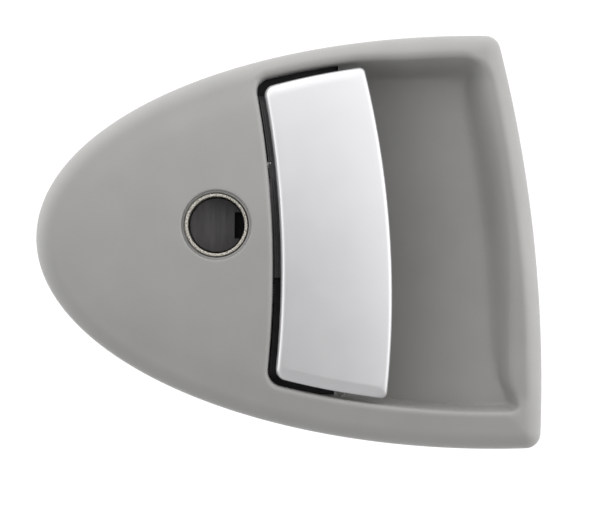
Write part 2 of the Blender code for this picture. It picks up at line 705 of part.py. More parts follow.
turned(
    "cam_screw", (0, 0, 0), "y",
    [(0.0, 10.0), (1.0, 10.0), (1.0, 17.2), (4.3, 17.2), (4.3, 18.0), (3.7, 18.6), (1.6, 18.6), (1.6, 17.9), (0.0, 17.9)],
    m_screw, steps=20,
)

# Locking slider: moved up and down by the crank pin in its cross slot.
m_lslider = material("locking_slider_steel", STEEL, 0.35, 1.0)
slot_half = 8.2
ls = rounded(
    [(-10.4, pin_z - 4.2), (-3.5, pin_z - 4.2), (-3.5, -45.0), (3.5, -45.0), (3.5, pin_z - 4.2), (10.4, pin_z - 4.2), (10.4, pin_z + 4.2), (-10.4, pin_z + 4.2)],
    [1.2, 0, 1.5, 1.5, 0, 1.2, 1.2, 1.2], n=3,
)
slot = rounded([(-slot_half, pin_z - 2.25), (slot_half, pin_z - 2.25), (slot_half, pin_z + 2.25), (-slot_half, pin_z + 2.25)], 2.0, n=4)
locking_slider = plate(
    "locking_slider", [ls, slot, circle(0, -40.5, 1.9, 14)], LOCK_SLIDER_Y0 + 1.6, LOCK_SLIDER_Y1 + 0.4, m_lslider
)

# Release slider: pulled to the right by the lever's tail.
m_rslider = material("release_slider_steel", STEEL, 0.35, 1.0)
rs = rounded(
    [(13.9, 3.6), (13.9, -18.0), (-38.5, -18.0), (-38.5, -26.0), (25.6, -26.0), (25.6, 3.6)],
    [1.5, 1.0, 1.5, 1.5, 2.0, 1.5], n=3,
)
tail_slot = rounded([(16.1, -9.0), (22.4, -9.0), (22.4, 1.0), (16.1, 1.0)], 0.6, n=2)
release_slider = plate(
    "release_slider", [rs, tail_slot, circle(-34.6, -22.0, 2.2, 16)], SLIDER_Y0, SLIDER_Y1, m_rslider
)
lug = box("slider_lug", (20.0, 23.0), (SLIDER_Y1 - 0.6, SLIDER_Y1 + 6.0), (-25.4, -18.6), cutter=True)
combine(release_slider, lug, "UNION")

# ---------------------------------------------------------------- mounting frame
m_frame = material("frame_black_nylon", (0.022, 0.022, 0.024), 0.55)
# Its edge follows the nose of the housing and closes the window off from behind.
frame_outer = [(x, ellipse_z(x, 8.0 - 2.6 * i / 8)) for i, x in enumerate([-38.0 + 76.0 * k / 8 for k in range(9)])]
frame_outer += [(x, ellipse_z(x, 5.4 + 2.6 * i / 8, False)) for i, x in enumerate([38.0 - 76.0 * k / 8 for k in range(9)])]
frame_outer += [(-45.2, -12.0), (-46.4, -4.4), (-45.2, 3.2)]
tail_window = rounded([(15.4, -10.5), (28.5, -10.5), (28.5, 2.5), (15.4, 2.5)], 1.0, n=2)
frame = plate("mounting_frame", [frame_outer, tail_window], FRAME_Y0, FRAME_Y1, m_frame)
boss = cylinder("frame_boss", (0, 0, 0), "y", COLLAR_R, -2.0, 10.4, cutter=True, sides=36)
combine(frame, boss, "UNION")
for i, (x, z) in enumerate(COVER_POSTS):
    combine(frame, cylinder(f"frame_post_{i}", (x, 0, z), "y", 3.4, 0.5, COVER_Y0 - 0.3, cutter=True, sides=20), "UNION")
for name, z0 in (("ear_top", 15.0), ("ear_bottom", -27.9)):
    ear = loft(
        name,
        [
            [(HINGE_X + 2.9 * math.cos(a), HINGE_Y + 2.9 * math.sin(a), z) for a in [math.pi + math.pi * i / 10 for i in range(11)]]
            + [(HINGE_X + 2.9, 0.5, z), (HINGE_X - 3.0, 0.5, z)]
            for z in (z0, z0 + 3.2)
        ],
        cutter=True, smooth=False,
    )
    combine(frame, ear, "UNION")
# Slider guides: rails above and below the horizontal bar, and a spring lug.
for i, (x, z) in enumerate((((-23.0, -13.0), (-17.7, -14.9)), ((-23.0, 10.0), (-29.4, -26.3)))):
    combine(frame, box(f"rail_{i}", x, (FRAME_Y1 - 0.8, 8.6), (min(z), max(z)), cutter=True), "UNION")
combine(frame, box("spring_lug", (-6.5, -3.5), (FRAME_Y1 - 0.8, 13.6), (-29.2, -26.5), cutter=True), "UNION")
combine(frame, box("spring_lug_arm", (-6.5, -3.5), (8.8, 13.6), (-27.5, -18.6), cutter=True), "UNION")
# Pads that the paddle rests on.
for i, (x, z) in enumerate(((31.0, 33.0), (31.0, -39.0))):
    combine(frame, box(f"rest_{i}", (x - 3.5, x + 3.5), (-5.6 if z > 0 else -7.2, 0.0), (z - 3.5, z + 3.5), cutter=True), "UNION")
combine(frame, cylinder("cut_frame_bore", (0, 0, 0), "y", 10.55, -5, 14, cutter=True, sides=40), "DIFFERENCE")
combine(frame, cylinder("cut_pin_bore", (HINGE_X, HINGE_Y, 0), "z", 1.55, -32, 24, cutter=True, sides=20), "DIFFERENCE")
for i, (x, z) in enumerate(COVER_POSTS):
    combine(frame, cylinder(f"cut_post_{i}", (x, 0, z), "y", 1.5, 12.0, 26.0, cutter=True, sides=14), "DIFFERENCE")
for i, (x, z) in enumerate(FRAME_SCREWS):
    combine(frame, cylinder(f"cut_frame_screw_{i}", (x, 0, z), "y", 2.1, -4.0, 6.0, cutter=True, sides=16), "DIFFERENCE")
for i, (x, z) in enumerate(FIXINGS[:2]):
    combine(frame, cylinder(f"cut_frame_post_{i}", (x, 0, z), "y", 6.2, -4.0, 6.0, cutter=True, sides=24), "DIFFERENCE")


def pan_head(name, x, z, seat, length, shank, head_r, head_h, mat):
    """A screw along Y that is driven from behind: its head's seat is at y = seat."""
    s = seat
    return turned(
        name, (x, 0, z), "y",
        [
            (0.0, s - length), (shank * 0.6, s - length), (shank, s - length + 1.0), (shank, s), (head_r, s),
            (head_r, s + head_h * 0.55), (head_r * 0.78, s + head_h), (head_r * 0.42, s + head_h),
            (head_r * 0.36, s + head_h * 0.45), (0.0, s + head_h * 0.45),
        ],
        mat, steps=12,
    )


for i, (x, z) in enumerate(FRAME_SCREWS):
    pan_head(f"frame_screw_{i + 1}", x, z, FRAME_Y1 + 0.3, 6.8, 1.45, 3.4, 2.2, m_screw)
for i, (x, z) in enumerate(COVER_POSTS):
    pan_head(f"cover_screw_{i + 1}", x, z, COVER_Y1 + 0.3, 9.0, 1.2, 2.9, 1.8, m_screw)

# ---------------------------------------------------------------- rear cover
m_rear = material("rear_cover_black_nylon", (0.025, 0.025, 0.027), 0.6)
rc = rounded(
    [(-31.5, 14.0), (-31.5, -18.5), (22.0, -45.5), (31.5, -45.5), (31.5, 23.5), (22.0, 23.5)],
    [4, 4, 4, 4, 4, 4], n=3,
)
rear_cover = plate("rear_cover", [rc, circle(0, 0, 9.0, 28)], COVER_Y0, COVER_Y1, m_rear)
for i, (x, z) in enumerate(COVER_POSTS):
    combine(rear_cover, cylinder(f"cut_cover_screw_{i}", (x, 0, z), "y", 1.6, 18, 28, cutter=True, sides=14), "DIFFERENCE")
combine(rear_cover, box("cut_link_way", (-4.4, 4.4), (18, 28), (-60.0, -36.0), cutter=True), "DIFFERENCE")

# ---------------------------------------------------------------- door fixings
m_brass = material("insert_brass", (0.72, 0.53, 0.22), 0.3, 1.0)
for i, (x, z) in enumerate(FIXINGS):
    turned(
        f"fixing_insert_{i + 1}", (x, 0, z), "y",
        [(2.1, FIX_Y - 6.2), (3.1, FIX_Y - 6.2), (3.5, FIX_Y - 5.8), (3.5, FIX_Y - 3.6), (3.15, FIX_Y - 3.3), (3.15, FIX_Y - 2.6),
         (3.5, FIX_Y - 2.3), (3.5, FIX_Y + 0.3), (2.1, FIX_Y + 0.3)],
        m_brass, steps=14,
    )

# ---------------------------------------------------------------- springs, stops
return_spring = coil(
    "return_spring", (HINGE_X, HINGE_Y, 0), "z", 2.45, 0.8, -24.0, -18.7, 5, m_spring,
    legs=((2.6, 8.2, -24.0), (9.0, -1.4, -18.7)), per_turn=12,
)
slider_spring = coil(
    "slider_spring", (0, 10.6, -22.0), "x", 2.1, 0.7, -3.0, 19.5, 9, m_spring, per_turn=10,
)
m_stop = material("stop_rubber", (0.015, 0.015, 0.015), 0.9)
for name, x, z, y in (("paddle_stop_upper", 31.0, 33.0, -5.6), ("paddle_stop_lower", 31.0, -39.0, -7.2)):
    cylinder(name, (x, 0, z), "y", 2.6, y - 2.1, y - 0.3, m_stop, sides=16)
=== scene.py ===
"""Visual model of the exterior paddle door handle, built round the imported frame.

Lengths in the helpers are millimetres in the row's own frame: +X to the pocket
side, +Z up, the outer face looks along -Y, the origin on the lock's axis.
"""

import json
import math

import bmesh
import bpy
import numpy as np
from mathutils import Matrix, Vector, kdtree
from mathutils.geometry import delaunay_2d_cdt

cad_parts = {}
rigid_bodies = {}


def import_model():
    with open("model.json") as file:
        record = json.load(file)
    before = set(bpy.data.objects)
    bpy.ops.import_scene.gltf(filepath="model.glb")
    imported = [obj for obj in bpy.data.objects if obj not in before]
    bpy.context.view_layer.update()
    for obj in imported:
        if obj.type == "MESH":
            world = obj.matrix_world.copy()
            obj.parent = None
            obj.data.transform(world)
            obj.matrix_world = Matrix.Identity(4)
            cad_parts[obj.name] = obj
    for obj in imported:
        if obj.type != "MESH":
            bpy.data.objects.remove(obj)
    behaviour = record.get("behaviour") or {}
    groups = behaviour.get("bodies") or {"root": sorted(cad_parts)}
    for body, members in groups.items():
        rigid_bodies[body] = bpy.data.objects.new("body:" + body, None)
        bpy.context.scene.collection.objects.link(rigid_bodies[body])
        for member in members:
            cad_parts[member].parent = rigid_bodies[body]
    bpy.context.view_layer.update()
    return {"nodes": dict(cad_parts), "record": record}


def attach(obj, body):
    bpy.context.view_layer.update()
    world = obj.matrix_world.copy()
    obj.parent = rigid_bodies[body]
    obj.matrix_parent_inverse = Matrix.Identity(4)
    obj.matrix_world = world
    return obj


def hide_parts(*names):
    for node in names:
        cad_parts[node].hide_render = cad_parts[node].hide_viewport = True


for old in list(bpy.data.objects):
    bpy.data.objects.remove(old, do_unlink=True)

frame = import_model()
NODES = frame["nodes"]
MM = 0.001

# ------------------------------------------------------------------ dimensions
ELL_X, ELL_Z, ELL_A, ELL_B = 85.0, -4.4, 142.3, 65.6
EDGE_R, EDGE_X, EDGE_Z, CORNER_R = 435.0, 103.8, -54.0, 4.8
RIM_Y, LIP, ROUND, CROWN, CROWN_RUN, WALL = -1.5, 1.0, 5.5, 11.5, 14.0, 2.4
LIP_X, LIP_Z, LIP_R = 18.12, -18.0, 307.0
TOP_RIM, BOTTOM_RIM, RIGHT_RIM = 6.0, 12.1, 5.6
TUB_LEFT, TUB_DEEP, TUB_SHALLOW = 41.0, 14.5, -2.5
PAD_LX, PAD_LZ, PAD_LR = 20.57, -18.0, 300.0
PAD_RX, PAD_RZ, PAD_RR = 55.84, -26.0, 305.0
PAD_H, PAD_APEX_X, PAD_APEX_Z, PAD_BEND_X, PAD_BEND_Z = 18.2, 38.0, -7.0, 260.0, 374.0
HINGE_X, HINGE_Y = 16.5, -9.8
LOCK_HOLE_R, COLLAR_R = 11.1, 12.5
SLEEVE_OUT, SLEEVE_IN, SLEEVE_FRONT, SLEEVE_REAR = 10.2, 8.95, -14.2, 13.2
FIX_Y = 20.0
FIXINGS = ((-30.0, 22.0), (-30.0, -32.0), (62.0, 22.0), (62.0, -32.0))
FRAME_SCREWS = ((-41.0, -4.0), (-6.0, 34.0), (-6.0, -43.0))
COVER_POSTS = ((-27.0, 10.0), (27.0, 19.0), (27.0, -41.0), (-27.0, -14.0))


# ------------------------------------------------------------------ materials
class Mat:
    """A Principled material and a few node helpers for it."""

    def __init__(self, name, colour, rough, metal=0.0, **sockets):
        self.m = bpy.data.materials.new(name)
        self.m.use_nodes = True
        self.t = self.m.node_tree
        self.b = self.t.nodes["Principled BSDF"]
        self.b.inputs["Base Color"].default_value = (*colour, 1)
        self.b.inputs["Roughness"].default_value = rough
        self.b.inputs["Metallic"].default_value = metal
        for key, value in sockets.items():
            self.b.inputs[key.replace("_", " ")].default_value = value
        self.colour, self.rough = colour, rough
        self.coord = self.node("ShaderNodeTexCoord").outputs["Object"]

    def node(self, kind, **props):
        n = self.t.nodes.new(kind)
        for k, v in props.items():
            setattr(n, k, v)
        return n

    def link(self, a, b):
        self.t.links.new(a, b)

    def noise(self, scale, detail=3.0, stretch=(1, 1, 1), rough=0.5):
        m = self.node("ShaderNodeMapping")
        m.inputs["Scale"].default_value = stretch
        self.link(self.coord, m.inputs["Vector"])
        n = self.node("ShaderNodeTexNoise")
        n.inputs["Scale"].default_value = scale
        n.inputs["Detail"].default_value = detail
        n.inputs["Roughness"].default_value = rough
        self.link(m.outputs["Vector"], n.inputs["Vector"])
        return n.outputs["Fac"]

    def ramp(self, fac, low, high, a, b):
        r = self.node("ShaderNodeMapRange")
        r.inputs["From Min"].default_value = low
        r.inputs["From Max"].default_value = high
        r.inputs["To Min"].default_value = a
        r.inputs["To Max"].default_value = b
        self.link(fac, r.inputs["Value"])
        return r.outputs["Result"]

    def mix(self, fac, a, b, blend="MIX"):
        m = self.node("ShaderNodeMix", data_type="RGBA", blend_type=blend)
        self.link(fac, m.inputs[0]) if not isinstance(fac, float) else setattr(m.inputs[0], "default_value", fac)
        for k, v in ((6, a), (7, b)):
            if isinstance(v, tuple):
                m.inputs[k].default_value = (*v, 1)
            else:
                self.link(v, m.inputs[k])
        return m.outputs[2]

    def vary(self, scale, amount, detail=2.0, wear=0.0, wear_colour=None, stretch=(1, 1, 1)):
        """Colour that drifts by amount over the surface, and lighter rubbed edges."""
        fac = self.ramp(self.noise(scale, detail, stretch), 0.3, 0.7, 0, 1)
        c = self.colour
        dark = tuple(v * (1 - amount) for v in c)
        light = tuple(min(1, v * (1 + amount)) for v in c)
        out = self.mix(fac, dark, light)
        if wear:
            g = self.node("ShaderNodeNewGeometry").outputs["Pointiness"]
            edge = self.ramp(g, 0.53, 0.62, 0, wear)
            mul = self.node("ShaderNodeMath", operation="MULTIPLY")
            self.link(edge, mul.inputs[0])
            self.link(self.ramp(self.noise(900, 2.0), 0.35, 0.65, 0.3, 1), mul.inputs[1])
            out = self.mix(mul.outputs[0], out, wear_colour or tuple(min(1, v * 1.6 + 0.03) for v in c))
        self.link(out, self.b.inputs["Base Color"])
        return self

    def rub(self, scale, amount, detail=3.0, stretch=(1, 1, 1)):
        self.link(
            self.ramp(self.noise(scale, detail, stretch), 0.3, 0.7, self.rough - amount, self.rough + amount),
            self.b.inputs["Roughness"],
        )
        return self

    def grain(self, scale, depth, strength=1.0, detail=2.0, stretch=(1, 1, 1), second=None):
        """Surface relief of depth metres."""
        bump = self.node("ShaderNodeBump")
        bump.inputs["Strength"].default_value = strength
        bump.inputs["Distance"].default_value = depth
        self.link(self.noise(scale, detail, stretch), bump.inputs["Height"])
        if second:
            b2 = self.node("ShaderNodeBump")
            b2.inputs["Strength"].default_value = strength
            b2.inputs["Distance"].default_value = second[1]
            self.link(self.noise(second[0], 3.0, second[2] if len(second) > 2 else (1, 1, 1)), b2.inputs["Height"])
            self.link(bump.outputs["Normal"], b2.inputs["Normal"])
            bump = b2
        self.link(bump.outputs["Normal"], self.b.inputs["Normal"])
        return self


GREY = (0.262, 0.2595, 0.2535)
M = {}
M["housing_plastic"] = (
    Mat("housing_plastic", GREY, 0.46, IOR=1.46).vary(60, 0.03, wear=0.12, wear_colour=(0.36, 0.36, 0.355))
    .rub(220, 0.05).grain(2600, 0.00006, 0.55, second=(90, 0.00012))
)
M["silver_paint"] = (
    Mat("silver_paint", (0.60, 0.597, 0.608), 0.33, 0.55, Coat_Weight=0.25, Coat_Roughness=0.22)
    .vary(40, 0.015, wear=0.05, wear_colour=(0.78, 0.79, 0.8)).rub(160, 0.035).grain(3000, 0.00002, 0.35)
)
M["lever_nylon"] = Mat("lever_nylon", (0.021, 0.0195, 0.0225), 0.55).vary(90, 0.15, wear=0.3).rub(300, 0.07).grain(2200, 0.00005, 0.5)
M["black_nylon"] = Mat("black_nylon", (0.016, 0.016, 0.0175), 0.62, Specular_IOR_Level=0.35).vary(70, 0.15, wear=0.35).rub(250, 0.07).grain(2400, 0.00006, 0.6)
M["sleeve_zinc"] = (
    Mat("sleeve_zinc", (0.44, 0.42, 0.38), 0.46, 0.85).vary(2400, 0.85, 3.0, wear=0.15, wear_colour=(0.85, 0.82, 0.75))
    .rub(900, 0.10).grain(2600, 0.00009, 0.7, second=(900, 0.00006))
)
M["driver_dark"] = (
    Mat("driver_dark", (0.082, 0.079, 0.085), 0.40, 0.25).vary(420, 0.22, 3.0, stretch=(1.6, 1, 0.14))
    .rub(700, 0.12, stretch=(1.5, 1, 0.15)).grain(1800, 0.00005, 0.6, stretch=(1.4, 1, 0.1))
)
M["steel"] = Mat("steel", (0.50, 0.50, 0.51), 0.30, 1.0).vary(300, 0.10, wear=0.2).rub(500, 0.08, stretch=(0.2, 1, 1)).grain(1400, 0.00003, 0.4, stretch=(0.15, 1, 1))
M["dark_steel"] = Mat("dark_steel", (0.085, 0.085, 0.09), 0.36, 0.9).vary(300, 0.2, wear=0.4).rub(500, 0.08).grain(1500, 0.00003, 0.5)
M["brass"] = Mat("brass", (0.68, 0.50, 0.21), 0.30, 1.0).vary(400, 0.12, wear=0.2).rub(600, 0.08).grain(1800, 0.00003, 0.4)
M["acetal"] = Mat("acetal", (0.030, 0.030, 0.032), 0.42).vary(200, 0.05).rub(300, 0.05).grain(1800, 0.00003, 0.4)
M["seal_rubber"] = Mat("seal_rubber", (0.018, 0.018, 0.018), 0.8).vary(200, 0.25).rub(300, 0.06).grain(1800, 0.00006, 0.7)
# near-black rubber of the stops; the same colour also paints the deep shade on the lower gap sheet
M["stop_rubber"] = Mat("stop_rubber", (0.007, 0.007, 0.007), 0.9, Specular_IOR_Level=0.25).vary(200, 0.25).rub(300, 0.06).grain(1800, 0.00006, 0.7)


def finish_piece(obj, slot, body, *replaced):
    obj.data.materials.clear()
    obj.data.materials.append(M[slot].m)
    if obj.name not in bpy.context.scene.collection.all_objects:
        bpy.context.scene.collection.objects.link(obj)
    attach(obj, body)
    if replaced:
        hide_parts(*replaced)
    return obj


def shade(me, angle=38):
    me.shade_smooth()
    me.set_sharp_from_angle(angle=math.radians(angle))
    return me


def mesh_from(name, points, faces, angle=38, weld=0.0):
    """A mesh object from points in millimetres."""
    me = bpy.data.meshes.new(name)
    me.from_pydata([tuple(p) for p in np.asarray(points, float) * MM], [], [tuple(int(i) for i in f) for f in faces])
    bm = bmesh.new()
    bm.from_mesh(me)
    if weld:
        bmesh.ops.remove_doubles(bm, verts=bm.verts, dist=weld * MM)
    bmesh.ops.recalc_face_normals(bm, faces=bm.faces)
    bm.to_mesh(me)
    bm.free()
    shade(me, angle)
    return bpy.data.objects.new(name, me)


# ------------------------------------------------------------------ surfaces
def ellipse_z(x, inset=0.0, top=True):
    t = np.maximum(0.0, 1 - ((np.asarray(x, float) - ELL_X) / ELL_A) ** 2)
    z = ELL_B * np.sqrt(t)
    return ELL_Z + z - inset if top else ELL_Z - z + inset


def ellipse_cos(x):
    """Cosine of the ellipse's slope at x."""
    u = np.clip((np.asarray(x, float) - ELL_X) / ELL_A, -0.98, 0.98)
    s = ELL_B / ELL_A * u / np.sqrt(1 - u * u)
    return 1 / np.sqrt(1 + s * s)


def edge_x(z, inset=0.0):
    r = EDGE_R - inset
    return EDGE_X - EDGE_R + np.sqrt(r * r - (np.asarray(z, float) - EDGE_Z) ** 2)


def arc_x(z, x0, z0, r):
    return x0 - r + np.sqrt(r * r - (np.asarray(z, float) - z0) ** 2)


def edge_distance(x, z):
    ux, uz = (x - ELL_X) / ELL_A, (z - ELL_Z) / ELL_B
    u = np.maximum(np.hypot(ux, uz), 1e-6)
    grad = np.maximum(np.hypot(ux / ELL_A, uz / ELL_B) / u, 1e-9)
    d1 = (1 - u) / grad
    d2 = EDGE_R - np.hypot(x - (EDGE_X - EDGE_R), z - EDGE_Z)
    corner = CORNER_R - np.hypot(CORNER_R - d1, CORNER_R - d2)
    return np.where((d1 < CORNER_R) & (d2 < CORNER_R), corner, np.minimum(d1, d2))


def dome(x, z, d):
    d = np.maximum(0.0, d)
    u2 = ((x - ELL_X) / ELL_A) ** 2 + ((z - ELL_Z) / ELL_B) ** 2
    crown = CROWN * np.maximum(0.0, 1 - u2)
    crown = np.where(x > 40, crown * (1 - 0.5 * ((x - 40) / 64) ** 2), crown)
    run = 1 - (1 - np.minimum(d, CROWN_RUN) / CROWN_RUN) ** 2
    border = ROUND * np.sqrt(np.maximum(0.0, 1 - (1 - np.minimum(d, ROUND) / ROUND) ** 2))
    return RIM_Y - LIP - border - crown * run


def floor_y(x):
    t = np.clip((x - TUB_LEFT) / (93.0 - TUB_LEFT), 0, 1)
    return TUB_DEEP + (TUB_SHALLOW - TUB_DEEP) * t


def smooth(t):
    t = np.clip(t, 0, 1)
    return t * t * (3 - 2 * t)


def smin(a, b, k):
    h = np.clip(0.5 + 0.5 * (b - a) / k, 0, 1)
    return b + (a - b) * h - k * h * (1 - h)


SIDE_R = (1.5, 3.3, 5.6, 1.9)        # lip radius on the left, top, right and bottom
SIDE_RUN = (0.9, 5.2, 7.6, 1.7)      # how far each wall runs in before it meets the floor


def opening(x, z, right_shift=0.0):
    """Signed distance into the paddle's opening and the pocket, and each side's share."""
    s = np.stack([
        x - arc_x(z, LIP_X, LIP_Z, LIP_R),
        (ellipse_z(x, TOP_RIM) - z) * ellipse_cos(x) - 1.2 * smooth((x - 42) / 18),
        edge_x(z, RIGHT_RIM) - x,
        (z - ellipse_z(x, BOTTOM_RIM, False)) * ellipse_cos(x),
    ])
    sx, sz = np.minimum(s[0], s[2]), np.minimum(s[1], s[3])
    rho = np.where(s[0] < s[2], 4.2, np.where(s[1] < s[3], 7.5, 5.0))
    a, b = rho - sx, rho - sz
    both = (a > 0) & (b > 0)
    d = rho - np.where(both, np.hypot(np.maximum(a, 0), np.maximum(b, 0)), np.maximum(a, b))
    w = 1 / (np.maximum(np.abs(s), 0.05) + 0.6) ** 3
    w /= w.sum(0)
    return d, w, s


def lip_profile(s, r, slope):
    """Drop below the dome across a rounded lip at s = 0 and down a wall of that slope."""
    sin = slope / np.sqrt(1 + slope * slope)
    cos = 1 / np.sqrt(1 + slope * slope)
    t = np.clip(s + r * sin, 0, r * sin)
    return r - np.sqrt(np.maximum(r * r - t * t, 0)) + np.where(s > 0, slope * s, 0)


def wall_front(x, z, top, s, w):
    depth = np.maximum(floor_y(x) - top, 6.0)
    r = np.tensordot(np.array(SIDE_R), w, 1)
    run = np.tensordot(np.array(SIDE_RUN), w, 1)
    drop_r = r * 0.75
    slope = np.maximum(depth - drop_r, 4.0) / run
    return top + lip_profile(s, r, slope)


FILLET = (1.0, 4.0, 4.4, 1.5)


def front(x, z, d=None):
    """Y of the housing's outer face, pocket included."""
    d = edge_distance(x, z) if d is None else np.where(np.isnan(d), edge_distance(x, z), d)
    top = dome(x, z, d)
    s, w, _ = opening(x, z)
    wall = wall_front(x, z, top, s, w)
    k = np.where(x < 37.95, 0.3, np.tensordot(np.array(FILLET), w, 1))
    # the pocket's left wall stands behind the paddle
    base = np.where(x < 37.95, -2.4, np.where(x < 41.0, 0.0, smin(15.0 * (x - 41.0), floor_y(x), 2.0)))
    y = smin(wall, base, k)
    y = np.where(s < -0.02, wall, y)
    r = np.hypot(x, z)
    t = np.clip((11.55 - r) / 0.45, 0, 1)
    y = np.where(r < 11.55, y + 0.45 * (1 - np.sqrt(1 - t * t)), y)
    # a ledge inside the lip, just above the ring
    return np.where(r < 11.07, y + 0.9, y)


RIBS = (22.0, -5.0, -32.0)


def back(x, z, d=None):
    """Y of the housing's inner face, with its posts, ribs and collar."""
    d = edge_distance(x, z) if d is None else np.where(np.isnan(d), edge_distance(x, z), d)
    top = dome(x, z, d)
    s, w, _ = opening(x, z)
    inner = np.where(d > WALL + 0.02, np.minimum(RIM_Y, dome(x, z, d - WALL) + WALL), RIM_Y)
    face = wall_front(x, z, top, s, w)
    y = np.where((s < 0.6) & (s > -5.0), np.maximum(inner, face + 1.3), inner)
    y = np.where((s >= -1.0) & (x < 37.95), np.minimum(y, -1.05), y)
    # thinner skin over the hinge, where the lever's flange swings
    skin = front(x, z, d) + 1.0
    near = (x > 12.6) & (x < 21.0) & (z > -52) & (z < 24)
    y = np.where(near, np.minimum(y, np.maximum(np.where(x > 16.0, -13.95, -13.4), skin)), y)
    # tub
    tub = (s > -WALL) & (x > 37.85)
    t_wall = wall_front(x, z, top, s + WALL, w) + 0.8
    t_y = smin(t_wall, floor_y(x) + WALL, 2.0)
    y = np.where(tub, np.maximum(y, t_y), y)
    rib = np.interp(x, (43.0, 46.0, 84.0, 87.5), (20.0, 20.0, 12.0, 5.0))
    for zr in RIBS:
        y = np.where((np.abs(z - zr) < 0.93) & (x > 43.05) & (x < 87.45), np.maximum(y, rib), y)
    for px, pz in FIXINGS:
        r = np.hypot(x - px, z - pz)
        y = np.where(r < 4.97, FIX_Y, y)
        y = np.where(r < 3.75, FIX_Y - 6.6, y)
    return np.where(np.hypot(x, z) < 12.55, -2.6, y)


def outline(inset=0.0, n=400):
    """The plan outline drawn in by inset, as points of even spacing."""
    full = max(CORNER_R, inset + 0.3)
    r = full - inset

    def corner_centre(sign):
        x, z = 98.0, 55.0 * sign
        t = 0.0
        for _ in range(60):
            t = math.acos(max(-1, min(1, (x - ELL_X) / ELL_A))) * sign
            for _ in range(20):
                nx, nz = math.cos(t) / ELL_A, math.sin(t) / ELL_B
                ln = math.hypot(nx, nz)
                qx = ELL_X + ELL_A * math.cos(t) - nx / ln * full
                t -= (x - qx) / (ELL_A * abs(math.sin(t))) * sign
            z_new = ELL_Z + ELL_B * math.sin(t) - nz / ln * full
            x = float(edge_x(z_new, full))
            if abs(z_new - z) < 1e-7:
                break
            z = z_new
        return x, z_new, t

    xt, zt, tt = corner_centre(1)
    xb, zb, tb = corner_centre(-1)
    t = np.linspace(tt, 2 * math.pi + tb, 1200)
    nx, nz = np.cos(t) / ELL_A, np.sin(t) / ELL_B
    ln = np.hypot(nx, nz)
    pts = [np.stack([ELL_X + ELL_A * np.cos(t) - nx / ln * inset, ELL_Z + ELL_B * np.sin(t) - nz / ln * inset], 1)]

    def arc(cx, cz, a0, a1):
        a = np.linspace(a0, a1, 40)[1:-1]
        pts.append(np.stack([cx + r * np.cos(a), cz + r * np.sin(a)], 1))

    ea = math.atan2(zb - EDGE_Z, xb - (EDGE_X - EDGE_R))
    eb = math.atan2(zt - EDGE_Z, xt - (EDGE_X - EDGE_R))
    arc(xb, zb, math.atan2(math.sin(tb) / ELL_B, math.cos(tb) / ELL_A), ea)
    a = np.linspace(ea, eb, 200)
    pts.append(np.stack([EDGE_X - EDGE_R + (EDGE_R - inset) * np.cos(a), EDGE_Z + (EDGE_R - inset) * np.sin(a)], 1))
    arc(xt, zt, eb, math.atan2(math.sin(tt) / ELL_B, math.cos(tt) / ELL_A))
    return even(np.concatenate(pts), n)


def even(loop, n):
    """The closed loop resampled to n points of equal spacing."""
    ring = np.vstack([loop, loop[:1]])
    run = np.concatenate([[0], np.cumsum(np.hypot(*np.diff(ring, axis=0).T))])
    at = np.linspace(0, run[-1], n, endpoint=False)
    return np.stack([np.interp(at, run, ring[:, 0]), np.interp(at, run, ring[:, 1])], 1)


def corner(fx, fz, x, z):
    for _ in range(40):
        x, z = float(fx(z)), float(fz(x))
    return x, z


def four_sided(bottom, right, top, left, radii, x_mid=60.0, n=60, n_c=8):
    """A loop round four curves, anticlockwise from the bottom left, with n points a side."""
    c = [corner(left, bottom, x_mid - 20, -40), corner(right, bottom, x_mid + 20, -40),
         corner(right, top, x_mid + 20, 40), corner(left, top, x_mid - 20, 40)]
    sides = []
    for k in range(4):
        (x0, z0), (x1, z1) = c[k], c[(k + 1) % 4]
        f, along_x = ((bottom, True), (right, False), (top, True), (left, False))[k]
        length = math.hypot(x1 - x0, z1 - z0)
        t = np.linspace(radii[k] / length, 1 - radii[(k + 1) % 4] / length, n)
        x, z = x0 + (x1 - x0) * t, z0 + (z1 - z0) * t
        sides.append(np.stack([x, f(x)], 1) if along_x else np.stack([f(z), z], 1))
    out = []
    for k in range(4):
        out.append(sides[k])
        p, q, v = sides[k][-1], sides[(k + 1) % 4][0], np.array(c[(k + 1) % 4])
        c1, c2 = p + (v - p) * 0.5523, q + (v - q) * 0.5523
        t = (np.arange(1, n_c) / n_c)[:, None]
        out.append(p * (1 - t) ** 3 + c1 * 3 * (1 - t) ** 2 * t + c2 * 3 * (1 - t) * t * t + q * t**3)
    return np.concatenate(out)


def window_level(x, z):
    """How far inside the lip the window behind the paddle starts."""
    w = opening(x, z)[1]
    top = np.clip((w[1] - 0.35) / 0.5, 0, 1)
    low = np.clip((w[3] - 0.35) / 0.5, 0, 1) * np.clip((x - 33.0) / 5.0, 0, 1)
    return 0.16 + 0.3 * top * top * (3 - 2 * top) + 0.6 * low * low * (3 - 2 * low)


def opening_ring(level, n=300, vary=None):
    """Points where the opening's signed distance is level."""
    loop = four_sided(
        lambda x: ellipse_z(x, BOTTOM_RIM + level, False), lambda z: edge_x(z, RIGHT_RIM + level),
        lambda x: ellipse_z(x, TOP_RIM + level), lambda z: arc_x(z, LIP_X, LIP_Z, LIP_R) + level,
        (max(0.6, 4.2 - level), max(0.6, 7 - level), max(0.6, 7.5 - level), max(0.6, 4.2 - level)),
    )
    p = even(loop, n)
    h = 1e-3
    for _ in range(8):
        x, z = p.T
        s = opening(x, z)[0] - (vary(x, z) if vary else level)
        gx = (opening(x + h, z)[0] - opening(x - h, z)[0]) / (2 * h)
        gz = (opening(x, z + h)[0] - opening(x, z - h)[0]) / (2 * h)
        g = np.maximum(gx * gx + gz * gz, 0.2)
        p = p - np.stack([s * gx / g, s * gz / g], 1)
    return p


